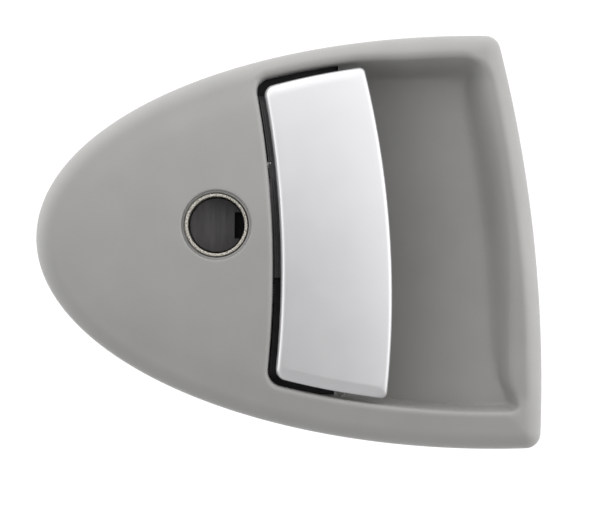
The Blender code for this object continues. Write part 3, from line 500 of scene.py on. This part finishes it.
def circle(cx, cz, r, n):
    a = np.arange(n) * 2 * np.pi / n
    return np.stack([cx + r * np.cos(a), cz + r * np.sin(a)], 1)


def inside(poly, pts):
    """Whether each point is in the polygon."""
    x, z = pts.T
    hit = np.zeros(len(pts), bool)
    for (x0, z0), (x1, z1) in zip(poly, np.roll(poly, -1, 0)):
        cross = (z0 > z) != (z1 > z)
        if z0 != z1:
            hit ^= cross & (x < (x1 - x0) * (z - z0) / (z1 - z0) + x0)
    return hit


class Field:
    """Triangles over the plan, from loops that must be edges and free points between them."""

    def __init__(self, outer, holes):
        self.outer, self.holes = outer, holes
        self.pts, self.d, self.edges = [], [], []
        self.bounds = [self.add_loop(outer, 0.0)] + [self.add_loop(h) for h in holes]
        self.tree = None

    def add_loop(self, loop, d=np.nan):
        start = sum(len(p) for p in self.pts)
        self.pts.append(np.asarray(loop, float))
        self.d.append(np.full(len(loop), d))
        idx = np.arange(start, start + len(loop))
        self.edges.append(np.stack([idx, np.roll(idx, -1)], 1))
        return idx

    def clear(self, pts, gap):
        """The points further than gap from every point so far, and inside the area."""
        have = np.concatenate(self.pts)
        tree = kdtree.KDTree(len(have))
        for i, (x, z) in enumerate(have):
            tree.insert((x, z, 0), i)
        tree.balance()
        keep = inside(self.outer, pts)
        for h in self.holes:
            keep &= ~inside(h, pts)
        out = keep.copy()
        for i in np.nonzero(keep)[0]:
            out[i] = tree.find((pts[i, 0], pts[i, 1], 0))[2] > gap
        return out

    def add(self, pts, gap, d=np.nan):
        ok = self.clear(pts, gap)
        self.pts.append(pts[ok])
        self.d.append(np.full(int(ok.sum()), d))

    def build(self, height):
        pts = np.concatenate(self.pts)
        d = np.concatenate(self.d)
        edges = np.concatenate(self.edges)
        out, _, faces, origin, _, _ = delaunay_2d_cdt(
            [Vector(p) for p in pts], [tuple(int(i) for i in e) for e in edges], [], 0, 1e-5
        )
        xz = np.array([tuple(v) for v in out])
        nd = np.full(len(xz), np.nan)
        where = {}
        for new, olds in enumerate(origin):
            for o in olds:
                where[o] = new
                if not np.isnan(d[o]):
                    nd[new] = d[o]
        faces = np.array([tuple(f) for f in faces])
        mid = xz[faces].mean(1)
        keep = inside(self.outer, mid)
        for h in self.holes:
            keep &= ~inside(h, mid)
        faces = faces[keep]
        y = height(xz[:, 0], xz[:, 1], nd)
        loops = [np.array([where[i] for i in b]) for b in self.bounds]
        return np.stack([xz[:, 0], y, xz[:, 1]], 1), faces, loops


# ------------------------------------------------------------------ housing
def hex_grid(x0, x1, z0, z1, step):
    rows = []
    for i, z in enumerate(np.arange(z0, z1, step * 0.866)):
        x = np.arange(x0 + (step / 2 if i % 2 else 0), x1, step)
        rows.append(np.stack([x, np.full_like(x, z)], 1))
    return np.concatenate(rows)


def make_housing():
    rim = outline(0.0, 520)
    ring = opening_ring(0.16, 420, window_level)
    left = ring[ring[:, 0] <= 37.9]
    # start the run at the top and go round the left side to the bottom
    order = np.argsort(np.arctan2(left[:, 1] + 4.0, left[:, 0] - 37.9) % (2 * np.pi))
    left = left[order]
    z_top, z_bot = left[0, 1], left[-1, 1]
    close = np.stack([np.full(60, 37.9), np.linspace(z_bot, z_top, 60)], 1)
    window = np.vstack([left[(left[:, 0] < 37.75)], close])
    hole = circle(0, 0, 10.32, 128)
    built = []
    for which in ("front", "back"):
        f = Field(rim, [window, hole])
        insets = 5.5 * (1 - np.cos(np.radians([9, 18, 27, 36, 45, 54, 63, 72, 81, 90]))) if which == "front" else []
        if which == "back":
            f.add(outline(WALL, 420), 0.05, WALL)
            insets = WALL + 0.03 + 5.5 * (1 - np.cos(np.radians([4, 12, 22, 32, 42, 54, 66, 78, 90])))
            for px, pz in FIXINGS:
                for r in (3.7, 3.8, 4.92, 5.02):
                    f.add_loop(circle(px, pz, r, 48))
            for zr in RIBS:
                for g in (0.9, 0.96):
                    xs = np.linspace(43.0 + (0.96 - g), 87.5 - (0.96 - g), 40)
                    f.add_loop(np.vstack([np.stack([xs, np.full(40, zr - g)], 1), np.stack([xs[::-1], np.full(40, zr + g)], 1)]))
            for r in (12.5, 12.6):
                f.add_loop(circle(0, 0, r, 96))
        if which == "front":
            for r in (11.05, 11.1):
                f.add_loop(circle(0, 0, r, 128))
            for k, r in enumerate((10.7, 11.12, 11.15, 11.19, 11.25, 11.33, 11.44, 11.56, 11.9, 12.6, 13.7, 14.8)):
                f.add(circle(0, 0, r, 128), 0.015 if k < 7 else 0.15)
        levels = [-0.02, -0.1, -0.22, -0.38, -0.56, -0.78, -1.05, -1.35, -1.7, -2.1, -2.55, -3.1, -3.7, -4.3, -5.0]
        inner = list(np.arange(0.32, 3.9, 0.3)) + list(np.arange(4.2, 8.4, 0.4))
        if which == "back":
            levels = [-0.3, -0.7, -1.1, -1.5, -1.9, -2.3] + [-2.42, -2.5, -3.0, -4.0, -4.9, -5.05]
            inner = list(np.arange(0.1, 2.0, 0.3)) + list(np.arange(2.4, 6.5, 0.5))
        for k, inset in enumerate(insets):
            f.add(outline(float(inset), 460 if k < 5 else 400), 0.12 if k < 2 else 0.3, float(inset))
        for lv in levels:
            f.add(opening_ring(lv, 420 if lv > -3 else 300), 0.09 if lv > -0.6 else 0.2)
        for lv in inner:
            f.add(opening_ring(lv, 420), 0.2)
        if which == "front":
            for x in (38.0, 39.0, 40.0, 40.9, 41.05, 41.2, 41.4, 41.6, 41.8, 42.0, 42.2, 42.45, 42.8):
                z = np.arange(-60, 56, 1.0)
                f.add(np.stack([np.full_like(z, x), z], 1), 0.12)
            for inset in (6.4, 7.4, 8.5, 9.8, 11.2, 12.6, 14.1):
                f.add(outline(inset, 300), 0.6, inset)
        f.add(hex_grid(-60, 106, -72, 64, 1.45), 0.95)
        pts, faces, loops = f.build(front if which == "front" else back)
        built.append((pts, faces, loops))
    (pf, ff, lf), (pb, fb, lb) = built
    # rim of the front at its own height; the rim of the back at RIM_Y
    pf[lf[0], 1] = RIM_Y - LIP
    pb[lb[0], 1] = RIM_Y
    n = len(pf)
    faces = [tuple(t) for t in ff] + [tuple(t[::-1] + n) for t in fb]
    for a, b in zip(lf, lb):
        for i in range(len(a)):
            j = (i + 1) % len(a)
            faces.append((a[i], a[j], b[j] + n, b[i] + n))
    return mesh_from("housing_shell", np.vstack([pf, pb]), faces, angle=40)


housing = finish_piece(make_housing(), "housing_plastic", "housing", "housing")


# ------------------------------------------------------------------ paddle
def paddle_face(x, z):
    return -(PAD_H - (x - PAD_APEX_X) ** 2 / PAD_BEND_X - (z - PAD_APEX_Z) ** 2 / PAD_BEND_Z)


def paddle_loop(inset, radii=(3.0, 2.0, 1.6, 3.0)):
    return four_sided(
        lambda x: ellipse_z(x, 14.45 - 0.012 * (x - 20) + inset, False),
        lambda z: arc_x(z, PAD_RX, PAD_RZ, PAD_RR) - inset,
        lambda x: ellipse_z(x, 8.75 - 0.026 * (x - 17) + inset),
        lambda z: arc_x(z, PAD_LX, PAD_LZ, PAD_LR) + inset,
        tuple(max(r - 0.55 * inset, 0.8) for r in radii), x_mid=38.0, n=56, n_c=9,
    )


def make_cover():
    edge, deep = paddle_loop(0.0), paddle_loop(4.2)
    c = edge.mean(0)
    # share of each side at a vertex, from the direction of the edge there
    tan = np.roll(edge, -1, 0) - np.roll(edge, 1, 0)
    nrm = np.stack([tan[:, 1], -tan[:, 0]], 1)
    nrm /= np.maximum(np.hypot(*nrm.T), 1e-9)[:, None]
    w = np.stack([np.maximum(-nrm[:, 0], 0), np.maximum(nrm[:, 1], 0), np.maximum(nrm[:, 0], 0), np.maximum(-nrm[:, 1], 0)]) ** 1.6
    for _ in range(6):
        w = (np.roll(w, 1, 1) + w + np.roll(w, -1, 1)) / 3
    w /= w.sum(0)
    # (inset, drop) of each profile from its edge up to the face: left, top, right, bottom
    def curve(points, n=13):
        p = np.array(points, float)
        run = np.concatenate([[0], np.cumsum(np.hypot(*np.diff(p, axis=0).T))])
        at = np.linspace(0, run[-1], n)
        return np.stack([np.interp(at, run, p[:, 0]), np.interp(at, run, p[:, 1])], 1)

    def arc(r, drop0):
        a = np.radians(np.linspace(0, 90, 10))
        return [(0, drop0 + 0.0)] + [(r * (1 - math.cos(t)), r * (1 - math.sin(t))) for t in a] + [(4.2, 0.0)]

    left = curve(arc(1.9, 2.0))
    top = curve([(0, 2.0), (0.0, 1.5), (0.08, 1.15), (0.3, 0.85), (0.65, 0.62), (1.2, 0.4), (1.9, 0.2), (2.6, 0.07), (3.3, 0.0), (4.2, 0.0)])
    right = curve(arc(0.9, 2.0))
    bottom = curve([(0, 2.0), (0.0, 1.75), (0.1, 1.5), (0.35, 1.33), (0.8, 1.2), (1.7, 0.84), (2.6, 0.48), (3.1, 0.27), (3.35, 0.12), (3.5, 0.02), (3.7, 0.0), (4.2, 0.0)])
    rings = []
    for k in range(13):
        inset = w[0] * left[k, 0] + w[1] * top[k, 0] + w[2] * right[k, 0] + w[3] * bottom[k, 0]
        drop = w[0] * left[k, 1] + w[1] * top[k, 1] + w[2] * right[k, 1] + w[3] * bottom[k, 1]
        p = edge + (deep - edge) * (inset / 4.2)[:, None]
        rings.append(np.stack([p[:, 0], paddle_face(p[:, 0], p[:, 1]) + drop, p[:, 1]], 1))
    under = []
    for inset, drop in ((4.2, 2.2), (0.45, 2.2), (0.12, 2.15)):
        p = edge + (deep - edge) * (inset / 4.2)
        under.append(np.stack([p[:, 0], paddle_face(p[:, 0], p[:, 1]) + drop, p[:, 1]], 1))
    rings = under + rings
    n = len(edge)
    pts = [np.concatenate(rings)]
    faces = []
    for r in range(len(rings) - 1):
        for i in range(n):
            j = (i + 1) % n
            faces.append((r * n + i, r * n + j, (r + 1) * n + j, (r + 1) * n + i))
    for row, drop in ((0, 2.2), (len(rings) - 1, 0.0)):
        loop = rings[row][:, [0, 2]]
        grid = hex_grid(loop[:, 0].min(), loop[:, 0].max(), loop[:, 1].min(), loop[:, 1].max(), 1.5)
        f = Field(loop, [])
        f.add(grid, 0.8)
        p, tri, loops = f.build(lambda x, z, d: paddle_face(x, z) + drop)
        base = sum(len(q) for q in pts)
        index = np.arange(len(p)) + base
        index[loops[0]] = row * n + np.arange(n)
        pts.append(p)
        faces += [tuple(index[list(t)]) for t in tri]
    return np.concatenate(pts), faces


def drop_loose(obj):
    bm = bmesh.new()
    bm.from_mesh(obj.data)
    bmesh.ops.delete(bm, geom=[v for v in bm.verts if not v.link_faces], context="VERTS")
    bm.to_mesh(obj.data)
    bm.free()
    return obj


cover = drop_loose(mesh_from("paddle_face_cover", *make_cover(), angle=50))
finish_piece(cover, "silver_paint", "paddle", "paddle_cover")


# ------------------------------------------------------------------ turned pieces
AXES = {"y": lambda r, a, h: (r * np.cos(a), h, r * np.sin(a)), "z": lambda r, a, h: (r * np.cos(a), r * np.sin(a), h)}


def turned(name, at, axis, profile, steps=96, angle=30):
    """A turned piece. profile is a closed loop of (radius, height); radius 0 is the axis."""
    a = np.arange(steps) * 2 * np.pi / steps
    pts, faces, rows = [], [], []
    for r, h in profile:
        if r == 0:
            rows.append([len(pts)] * steps)
            pts.append(AXES[axis](0.0, 0.0, h))
        else:
            rows.append(list(range(len(pts), len(pts) + steps)))
            x, y, z = AXES[axis](r, a, np.full(steps, h))
            pts += list(zip(x, y, z))
    for p, q in zip(rows, rows[1:] + rows[:1]):
        if p[0] == p[1] and q[0] == q[1]:
            continue
        for i in range(steps):
            j = (i + 1) % steps
            f = []
            for v in (p[i], p[j], q[j], q[i]):
                if v not in f:
                    f.append(v)
            faces.append(f)
    return mesh_from(name, np.array(pts) + np.array(at, float), faces, angle)


def eased(profile, r=0.15, n=3):
    """The closed profile with its corners off the axis rounded by about r."""
    out = []
    k = len(profile)
    for i in range(k):
        p = np.array(profile[i], float)
        a, b = np.array(profile[i - 1], float), np.array(profile[(i + 1) % k], float)
        if p[0] == 0:
            out.append(tuple(p))
            continue
        la, lb = np.hypot(*(a - p)), np.hypot(*(b - p))
        e = min(r, la * 0.4, lb * 0.4)
        s, t = p + (a - p) / la * e, p + (b - p) / lb * e
        for j in range(n + 1):
            u = j / n
            out.append(tuple((1 - u) ** 2 * s + 2 * u * (1 - u) * p + u * u * t))
    return out


sleeve = turned(
    "lock_sleeve_ring", (0, 0, 0), "y",
    eased([
        (SLEEVE_IN, SLEEVE_FRONT + 0.35), (SLEEVE_IN, SLEEVE_REAR - 2.0), (5.6, SLEEVE_REAR - 2.0), (5.6, SLEEVE_REAR),
        (SLEEVE_OUT, SLEEVE_REAR), (SLEEVE_OUT, 11.6), (9.4, 11.6), (9.4, 10.6), (SLEEVE_OUT, 10.6),
        (SLEEVE_OUT, SLEEVE_FRONT + 0.8), (9.95, SLEEVE_FRONT + 0.5), (9.85, SLEEVE_FRONT), (SLEEVE_IN + 0.25, SLEEVE_FRONT),
    ], 0.1),
    steps=144,
)
finish_piece(sleeve, "sleeve_zinc", "housing", "lock_sleeve")


def boolean(obj, other, how="DIFFERENCE"):
    """obj with other cut from it or joined to it; other is removed."""
    for o in (obj, other):
        if o.name not in bpy.context.scene.collection.all_objects:
            bpy.context.scene.collection.objects.link(o)
    m = obj.modifiers.new("b", "BOOLEAN")
    m.operation, m.object, m.solver = how, other, "EXACT"
    bpy.context.view_layer.update()
    me = bpy.data.meshes.new_from_object(obj.evaluated_get(bpy.context.evaluated_depsgraph_get()))
    obj.modifiers.clear()
    obj.data = me
    bpy.data.objects.remove(other)
    return obj


def block(name, x, y, z):
    p = [(a, b, c) for a in x for b in y for c in z]
    f = [(0, 1, 3, 2), (4, 6, 7, 5), (0, 4, 5, 1), (2, 3, 7, 6), (0, 2, 6, 4), (1, 5, 7, 3)]
    return mesh_from(name, p, f, 30)


def soften(obj, width, segments=2, angle=35, sharp=38):
    """Rounds the piece's edges and applies it to the mesh."""
    if obj.name not in bpy.context.scene.collection.all_objects:
        bpy.context.scene.collection.objects.link(obj)
    m = obj.modifiers.new("e", "BEVEL")
    m.width, m.segments, m.limit_method, m.angle_limit = width * MM, segments, "ANGLE", math.radians(angle)
    m.use_clamp_overlap = True
    m.harden_normals = False
    bpy.context.view_layer.update()
    me = bpy.data.meshes.new_from_object(obj.evaluated_get(bpy.context.evaluated_depsgraph_get()))
    obj.modifiers.clear()
    obj.data = me
    shade(me, sharp)
    return obj


driver = turned(
    "lock_driver_core", (0, 0, 0), "y",
    eased([(0.0, 1.0), (8.6, 1.0), (8.6, 10.8), (5.2, 10.8), (5.2, 13.5), (3.4, 13.5), (3.4, 16.9), (0.0, 16.9)], 0.25),
    steps=96,
)
boolean(driver, block("k", (5.6, 12.0), (-4.0, 8.0), (-4.2, 4.2)))
boolean(driver, block("k", (2.7, 8.0), (13.55, 20.0), (-6, 6)))
shade(driver.data, 30)
finish_piece(driver, "driver_dark", "lock_rotor", "lock_driver")
# painted shade: the slot's walls take the near-black nylon, standing in for the shadow deep in the slot
driver.data.materials.append(M["black_nylon"].m)
for p in driver.data.polygons:
    c = p.center / MM
    if c.x > 5.55 and abs(c.z) < 4.25 and 1.1 < c.y < 8.1 and math.hypot(c.x, c.z) < 8.55:
        p.material_index = 1


# ------------------------------------------------------------------ screws, inserts, springs
def screw(name, x, z, seat, length, shank, head_r, head_h):
    """A pan-head screw along Y with a cross recess and thread crests."""
    s = seat
    prof = [(0.0, s - length), (shank * 0.55, s - length), (shank, s - length + 1.0)]
    h = s - length + 1.0
    while h < s - 1.4:
        prof += [(shank, h), (shank - 0.22, h + 0.3), (shank - 0.22, h + 0.42), (shank, h + 0.72)]
        h += 0.72
    prof += [(shank - 0.1, s - 0.4), (shank - 0.05, s), (head_r - 0.1, s), (head_r, s + 0.15), (head_r, s + head_h * 0.45)]
    for k in range(1, 7):
        a = math.radians(15 * k)
        prof.append((head_r * (0.55 + 0.45 * math.cos(a)), s + head_h * (0.45 + 0.55 * math.sin(a))))
    prof.append((0.0, s + head_h))
    clean = [prof[0]]
    for p in prof[1:]:
        if abs(p[0] - clean[-1][0]) + abs(p[1] - clean[-1][1]) > 1e-4:
            clean.append(p)
    o = turned(name, (x, 0, z), "y", clean, steps=40)
    w, l = head_r * 0.14, head_r * 0.52
    for k, (dx, dz) in enumerate(((l, w), (w, l))):
        boolean(o, block("k", (x - dx, x + dx), (s + head_h * 0.35 + 0.02 * k, s + head_h + 1), (z - dz, z + dz)))
    shade(o.data, 30)
    return o


for i, (x, z) in enumerate(FRAME_SCREWS):
    finish_piece(screw(f"frame_screw_drive_{i + 1}", x, z, 2.0, 6.8, 1.45, 3.4, 2.2), "steel", "housing", f"frame_screw_{i + 1}")
for i, (x, z) in enumerate(COVER_POSTS):
    finish_piece(screw(f"cover_screw_drive_{i + 1}", x, z, 23.7, 9.0, 1.2, 2.9, 1.8), "steel", "housing", f"cover_screw_{i + 1}")

cam_screw = turned(
    "cam_screw_drive", (0, 0, 0), "y",
    [(0.0, 10.0), (1.0, 10.0), (1.0, 17.2), (4.2, 17.2), (4.3, 17.3), (4.3, 17.9), (4.1, 18.25), (3.7, 18.5), (3.2, 18.6), (0.0, 18.6)], steps=48,
)
for k, (dx, dz) in enumerate(((2.3, 0.55), (0.55, 2.3))):
    boolean(cam_screw, block("k", (-dx, dx), (17.7 + 0.02 * k, 20), (-dz, dz)))
shade(cam_screw.data, 30)
finish_piece(cam_screw, "steel", "lock_rotor", "cam_screw")

for i, (x, z) in enumerate(FIXINGS):
    y0, y1 = FIX_Y - 6.2, FIX_Y + 0.3
    a = np.arange(96) * 2 * np.pi / 96
    rows = []
    for r, y, knurl in (
        (3.05, y0, 0), (3.2, y0 + 0.15, 0), (3.45, y0 + 0.5, 1), (3.45, FIX_Y - 3.6, 1), (3.12, FIX_Y - 3.35, 0), (3.12, FIX_Y - 2.6, 0),
        (3.45, FIX_Y - 2.3, 1), (3.45, y1 - 0.35, 1), (3.25, y1 - 0.12, 0), (3.1, y1, 0), (2.45, y1, 0), (2.2, y1 - 0.3, 0),
    ):
        rr = r + knurl * (0.05 - 0.17 * (np.arange(96) % 3 == 0))
        rows.append(np.stack([x + rr * np.cos(a), np.full(96, y), z + rr * np.sin(a)], 1))
    h = y1 - 0.45
    while h > y0 + 0.6:
        for r, dh in ((1.95, 0.0), (2.15, 0.3)):
            rows.append(np.stack([x + r * np.cos(a), np.full(96, h - dh), z + r * np.sin(a)], 1))
        h -= 0.6
    n = 96
    faces = []
    for r in range(len(rows)):
        q = (r + 1) % len(rows)
        for k in range(n):
            j = (k + 1) % n
            faces.append((r * n + k, r * n + j, q * n + j, q * n + k))
    finish_piece(mesh_from(f"fixing_insert_brass_{i + 1}", np.concatenate(rows), faces, 25), "brass", "housing", f"fixing_insert_{i + 1}")


def wire(name, points, radius, sides=14):
    """A round wire along points, with flat ends, as one mesh."""
    p = np.array(points, float)
    t = np.gradient(p, axis=0)
    t /= np.linalg.norm(t, axis=1)[:, None]
    u = np.cross(t[0], (0.3, 0.5, 0.8))
    rows = []
    a = np.arange(sides) * 2 * np.pi / sides
    for k in range(len(p)):
        u = u - t[k] * np.dot(u, t[k])
        u /= np.linalg.norm(u)
        v = np.cross(t[k], u)
        rows.append(p[k] + radius * (np.cos(a)[:, None] * u + np.sin(a)[:, None] * v))
    faces = []
    for r in range(len(rows) - 1):
        for i in range(sides):
            j = (i + 1) % sides
            faces.append((r * sides + i, r * sides + j, (r + 1) * sides + j, (r + 1) * sides + i))
    faces += [tuple(range(sides)), tuple(range((len(rows) - 1) * sides, len(rows) * sides))]
    return mesh_from(name, np.concatenate(rows), faces, 40)


def smooth_path(points, n):
    """A curve through the points by Catmull-Rom, n points to each span."""
    p = [np.array(q, float) for q in points]
    p = [2 * p[0] - p[1]] + p + [2 * p[-1] - p[-2]]
    out = []
    for i in range(1, len(p) - 2):
        for k in range(n):
            t = k / n
            out.append(0.5 * (2 * p[i] + (p[i + 1] - p[i - 1]) * t + (2 * p[i - 1] - 5 * p[i] + 4 * p[i + 1] - p[i + 2]) * t**2
                              + (3 * p[i] - p[i - 1] - 3 * p[i + 1] + p[i + 2]) * t**3))
    return out + [p[-2]]


helix = []
for i in range(5 * 36 + 1):
    t = i / (5 * 36)
    w = 2 * math.pi * 5 * t
    helix.append((HINGE_X + 2.45 * math.cos(w), HINGE_Y + 2.45 * math.sin(w), -24.0 + 5.3 * t))
leg_a = [(HINGE_X + 2.6, HINGE_Y + 8.2, -24.0), (HINGE_X + 2.5, HINGE_Y + 4.0, -24.0), (HINGE_X + 2.46, HINGE_Y + 1.4, -24.0)]
leg_b = [(HINGE_X + 3.8, HINGE_Y - 0.25, -18.7), (HINGE_X + 6.2, HINGE_Y - 0.8, -18.7), (HINGE_X + 9.0, HINGE_Y - 1.4, -18.7)]
finish_piece(wire("return_spring_coil", leg_a + helix + leg_b, 0.39), "steel", "housing", "return_spring")
helix = []
for i in range(9 * 32 + 1):
    t = i / (9 * 32)
    w = 2 * math.pi * 9 * t
    helix.append((-3.0 + 22.5 * t, 10.6 + 2.1 * math.sin(w), -22.0 + 2.1 * math.cos(w)))
finish_piece(wire("slider_spring_coil", helix, 0.34), "steel", "housing", "slider_spring")


# ------------------------------------------------------------------ seal
def make_seal():
    """A gasket ring with a rounded back and two small lips."""
    rings = []
    for inset, y in (
        (0.6, -1.15), (0.6, -0.5), (0.68, -0.2), (0.85, -0.05), (1.05, 0.0), (1.2, -0.06), (1.32, -0.3), (1.5, -0.42), (2.2, -0.42),
        (2.38, -0.3), (2.5, -0.06), (2.65, 0.0), (2.85, -0.05), (3.02, -0.2), (3.1, -0.5), (3.1, -1.15), (3.0, -1.2), (0.7, -1.2),
    ):
        # the same spacing on each ring keeps the rows matched
        p = outline(inset, 360)
        rings.append(np.stack([p[:, 0], np.full(len(p), y), p[:, 1]], 1))
    n = 360
    faces = []
    for r in range(len(rings)):
        q = (r + 1) % len(rings)
        for i in range(n):
            j = (i + 1) % n
            faces.append((r * n + i, r * n + j, q * n + j, q * n + i))
    return mesh_from("door_seal_gasket", np.concatenate(rings), faces, 40)


finish_piece(make_seal(), "seal_rubber", "housing", "door_seal")


# ------------------------------------------------------------------ softened CAD pieces
def soft_copy(node, name, slot, body, width, segments=2):
    """A copy of a frame node's mesh with its flat faces rejoined and its edges rounded."""
    me = NODES[node].data.copy()
    bm = bmesh.new()
    bm.from_mesh(me)
    bmesh.ops.remove_doubles(bm, verts=bm.verts, dist=0.000002)
    bmesh.ops.dissolve_limit(bm, angle_limit=math.radians(1.0), verts=bm.verts, edges=bm.edges)
    bmesh.ops.recalc_face_normals(bm, faces=bm.faces)
    bm.to_mesh(me)
    bm.free()
    me.materials.clear()
    for a in [a.name for a in me.attributes if a.name in ("sharp_face", "sharp_edge", "custom_normal")]:
        me.attributes.remove(me.attributes[a])
    obj = bpy.data.objects.new(name, me)
    soften(obj, width, segments)
    return finish_piece(obj, slot, body, node)


lever = soft_copy("paddle_lever", "paddle_lever_arm", "lever_nylon", "paddle", 0.3)


def make_flange(name, z0, z1, n, grooves):
    """The lever's thin flange that closes the gap at the paddle's left side; the lower copy, in near-black rubber, is a
    painted-shade sheet standing in for the gap's deep shadow.
    """
    rings = []
    for z in np.linspace(z0, z1, n):
        x1 = float(arc_x(z, PAD_LX, PAD_LZ, PAD_LR))
        lip = float(arc_x(z, LIP_X, LIP_Z, LIP_R))
        face = float(paddle_face(x1, z))
        y0 = max(-12.98, face + 2.45)
        y0 += max(0.0, z - 38.0) ** 2 * 0.16 + max(0.0, -45.0 - z) ** 2 * 0.16
        ear = 14.0 < z < 19.6 or -29.8 < z < -23.6
        y1 = y0 + (0.22 if ear else 0.9)
        x0, x2 = lip + 0.42, x1 + (-0.04 if 12.0 < z < 21.0 else 0.9)
        run = x2 - x0
        front_line = [(x0 + 0.06, y0 + 0.06), (x0 + 0.14, y0)]
        for at, width, deep in grooves:
            c = x0 + at
            if c + width < x2 - 0.1:
                deep = min(deep, y1 - y0 - 0.06)
                front_line += [(c - width, y0), (c - width * 0.7, y0 + deep), (c + width * 0.7, y0 + deep), (c + width, y0)]
            else:
                front_line += [(x2 - 0.02 - 0.01 * k, y0) for k in (4, 3, 2, 1)]
        prof = front_line + [(x2, y0), (x2, y1), (x0, y1), (x0, y0 + 0.12)]
        rings.append(np.array([(px, py, z) for px, py in prof]))
    n_p = len(rings[0])
    faces = []
    for r in range(len(rings) - 1):
        for i in range(n_p):
            j = (i + 1) % n_p
            faces.append((r * n_p + i, r * n_p + j, (r + 1) * n_p + j, (r + 1) * n_p + i))
    faces += [tuple(range(n_p)), tuple(range((len(rings) - 1) * n_p, len(rings) * n_p))]
    return mesh_from(name, np.concatenate(rings), faces, 32)


finish_piece(make_flange("gap_liner_upper", -16.4, 41.0, 116, ((0.62, 0.16, 0.42), (1.35, 0.20, 0.42))), "lever_nylon", "housing")
# painted shade: a near-black sheet filling the lower gap, where there is only deep shadow
finish_piece(make_flange("painted_shade_gap_sheet", -49.0, -16.9, 66, ((0.9, 0.1, 0.12),)), "stop_rubber", "housing")
soft_copy("mounting_frame", "mounting_frame_plate", "black_nylon", "housing", 0.35)
soft_copy("rear_cover", "rear_cover_plate", "black_nylon", "housing", 0.4)
soft_copy("release_slider", "release_slider_plate", "steel", "release_slider", 0.25)
soft_copy("locking_slider", "locking_slider_plate", "steel", "locking_slider", 0.2)
soft_copy("lock_cam", "lock_cam_plate", "steel", "lock_rotor", 0.25)

slots = {s["node"]: s["material_slot"] for s in frame["record"]["subparts"]}
for node, obj in NODES.items():
    obj.data.materials.clear()
    obj.data.materials.append(M[slots[node]].m)

# ------------------------------------------------------------------ stage
floor_me = bpy.data.meshes.new("floor")
bm = bmesh.new()
bmesh.ops.create_circle(bm, cap_ends=True, segments=96, radius=1.3)
bm.to_mesh(floor_me)
bm.free()
floor = bpy.data.objects.new("floor", floor_me)
floor.location = (0, 0, -0.16)
bpy.context.scene.collection.objects.link(floor)
fm = bpy.data.materials.new("floor_pale")
fm.use_nodes = True
nt = fm.node_tree
fb = nt.nodes["Principled BSDF"]
fb.inputs["Base Color"].default_value = (0.80, 0.80, 0.80, 1)
fb.inputs["Roughness"].default_value = 0.9
geo = nt.nodes.new("ShaderNodeNewGeometry")
clear = nt.nodes.new("ShaderNodeBsdfTransparent")
mixs = nt.nodes.new("ShaderNodeMixShader")
out = nt.nodes["Material Output"]
nt.links.new(geo.outputs["Backfacing"], mixs.inputs[0])
nt.links.new(fb.outputs[0], mixs.inputs[1])
nt.links.new(clear.outputs[0], mixs.inputs[2])
nt.links.new(mixs.outputs[0], out.inputs["Surface"])
floor_me.materials.append(fm)
floor.visible_diffuse = floor.visible_glossy = False

world = bpy.data.worlds.new("studio")
bpy.context.scene.world = world
world.use_nodes = True
wt = world.node_tree


def wnode(kind, **props):
    n = wt.nodes.new(kind)
    for key, value in props.items():
        setattr(n, key, value)
    return n


def wmath(op, a, b):
    n = wnode("ShaderNodeMath", operation=op)
    for socket, value in zip(n.inputs, (a, b)):
        if isinstance(value, (int, float)):
            socket.default_value = value
        else:
            wt.links.new(value, socket)
    return n.outputs[0]


# soft boxes of one size all round, and a little light from everywhere
FILL = 0.38
SOFT = (
    ((0, -1, 0), 0.12), ((1, -1, 0), 1.45), ((0, -1, 1), 0.6), ((-1, -1, 1), 0.5), ((1, -1, 1), 0.75), ((1, -1, -1), 0.25),
    ((-1, 0, 0), 1.85), ((1, 0, 0), 1.2), ((0, 0, 1), 1.05), ((0, 0, -1), 0.1), ((-1, 0, 1), 2.0), ((1, 0, 1), 1.1),
    ((-1, 0, -1), 0.35), ((1, 0, -1), 0.6), ((0, 1, 1), 0.8), ((0, 1, -1), 0.8), ((-1, 1, 0), 0.8), ((1, 1, 0), 0.9),
)
direction = wnode("ShaderNodeTexCoord").outputs["Generated"]
level = None
for towards, strength in SOFT:
    dot = wnode("ShaderNodeVectorMath", operation="DOT_PRODUCT")
    wt.links.new(direction, dot.inputs[0])
    dot.inputs[1].default_value = Vector(towards).normalized()
    lobe = wmath("POWER", wmath("MAXIMUM", dot.outputs["Value"], 0.0), 6.0 if towards[1] <= 0 else 4.0)
    lobe = wmath("MULTIPLY", lobe, strength)
    level = wmath("ADD", level if level is not None else FILL, lobe)
bg = wt.nodes["Background"]
bg.inputs["Color"].default_value = (1, 1, 1, 1)
wt.links.new(level, bg.inputs["Strength"])
cam_bg = wnode("ShaderNodeBackground")
cam_bg.inputs["Color"].default_value = (1, 1, 1, 1)
cam_bg.inputs["Strength"].default_value = 1.1
lp = wnode("ShaderNodeLightPath")
mw = wnode("ShaderNodeMixShader")
wt.links.new(lp.outputs["Is Camera Ray"], mw.inputs[0])
wt.links.new(bg.outputs[0], mw.inputs[1])
wt.links.new(cam_bg.outputs[0], mw.inputs[2])
wt.links.new(mw.outputs[0], wt.nodes["World Output"].inputs["Surface"])


cam_data = bpy.data.cameras.new("camera")
cam = bpy.data.objects.new("camera", cam_data)
bpy.context.scene.collection.objects.link(cam)
bpy.context.scene.camera = cam
DIST = 2.0
cam_data.sensor_width = 36.0
cam_data.lens = 36.0 * DIST / (614 * 0.0003162)
cam_data.clip_start, cam_data.clip_end = 0.05, 50
roll = math.radians(0.72)
right = Vector((math.cos(roll), 0, math.sin(roll)))
up = Vector((-math.sin(roll), 0, math.cos(roll)))
look = Vector((0, 1, 0))
cam.matrix_world = Matrix((
    (right.x, up.x, -look.x, 0.02876),
    (right.y, up.y, -look.y, -DIST - 0.012),
    (right.z, up.z, -look.z, -0.00834),
    (0, 0, 0, 1),
))

view = bpy.context.scene.view_settings
view.view_transform = "Standard"
view.look = "None"
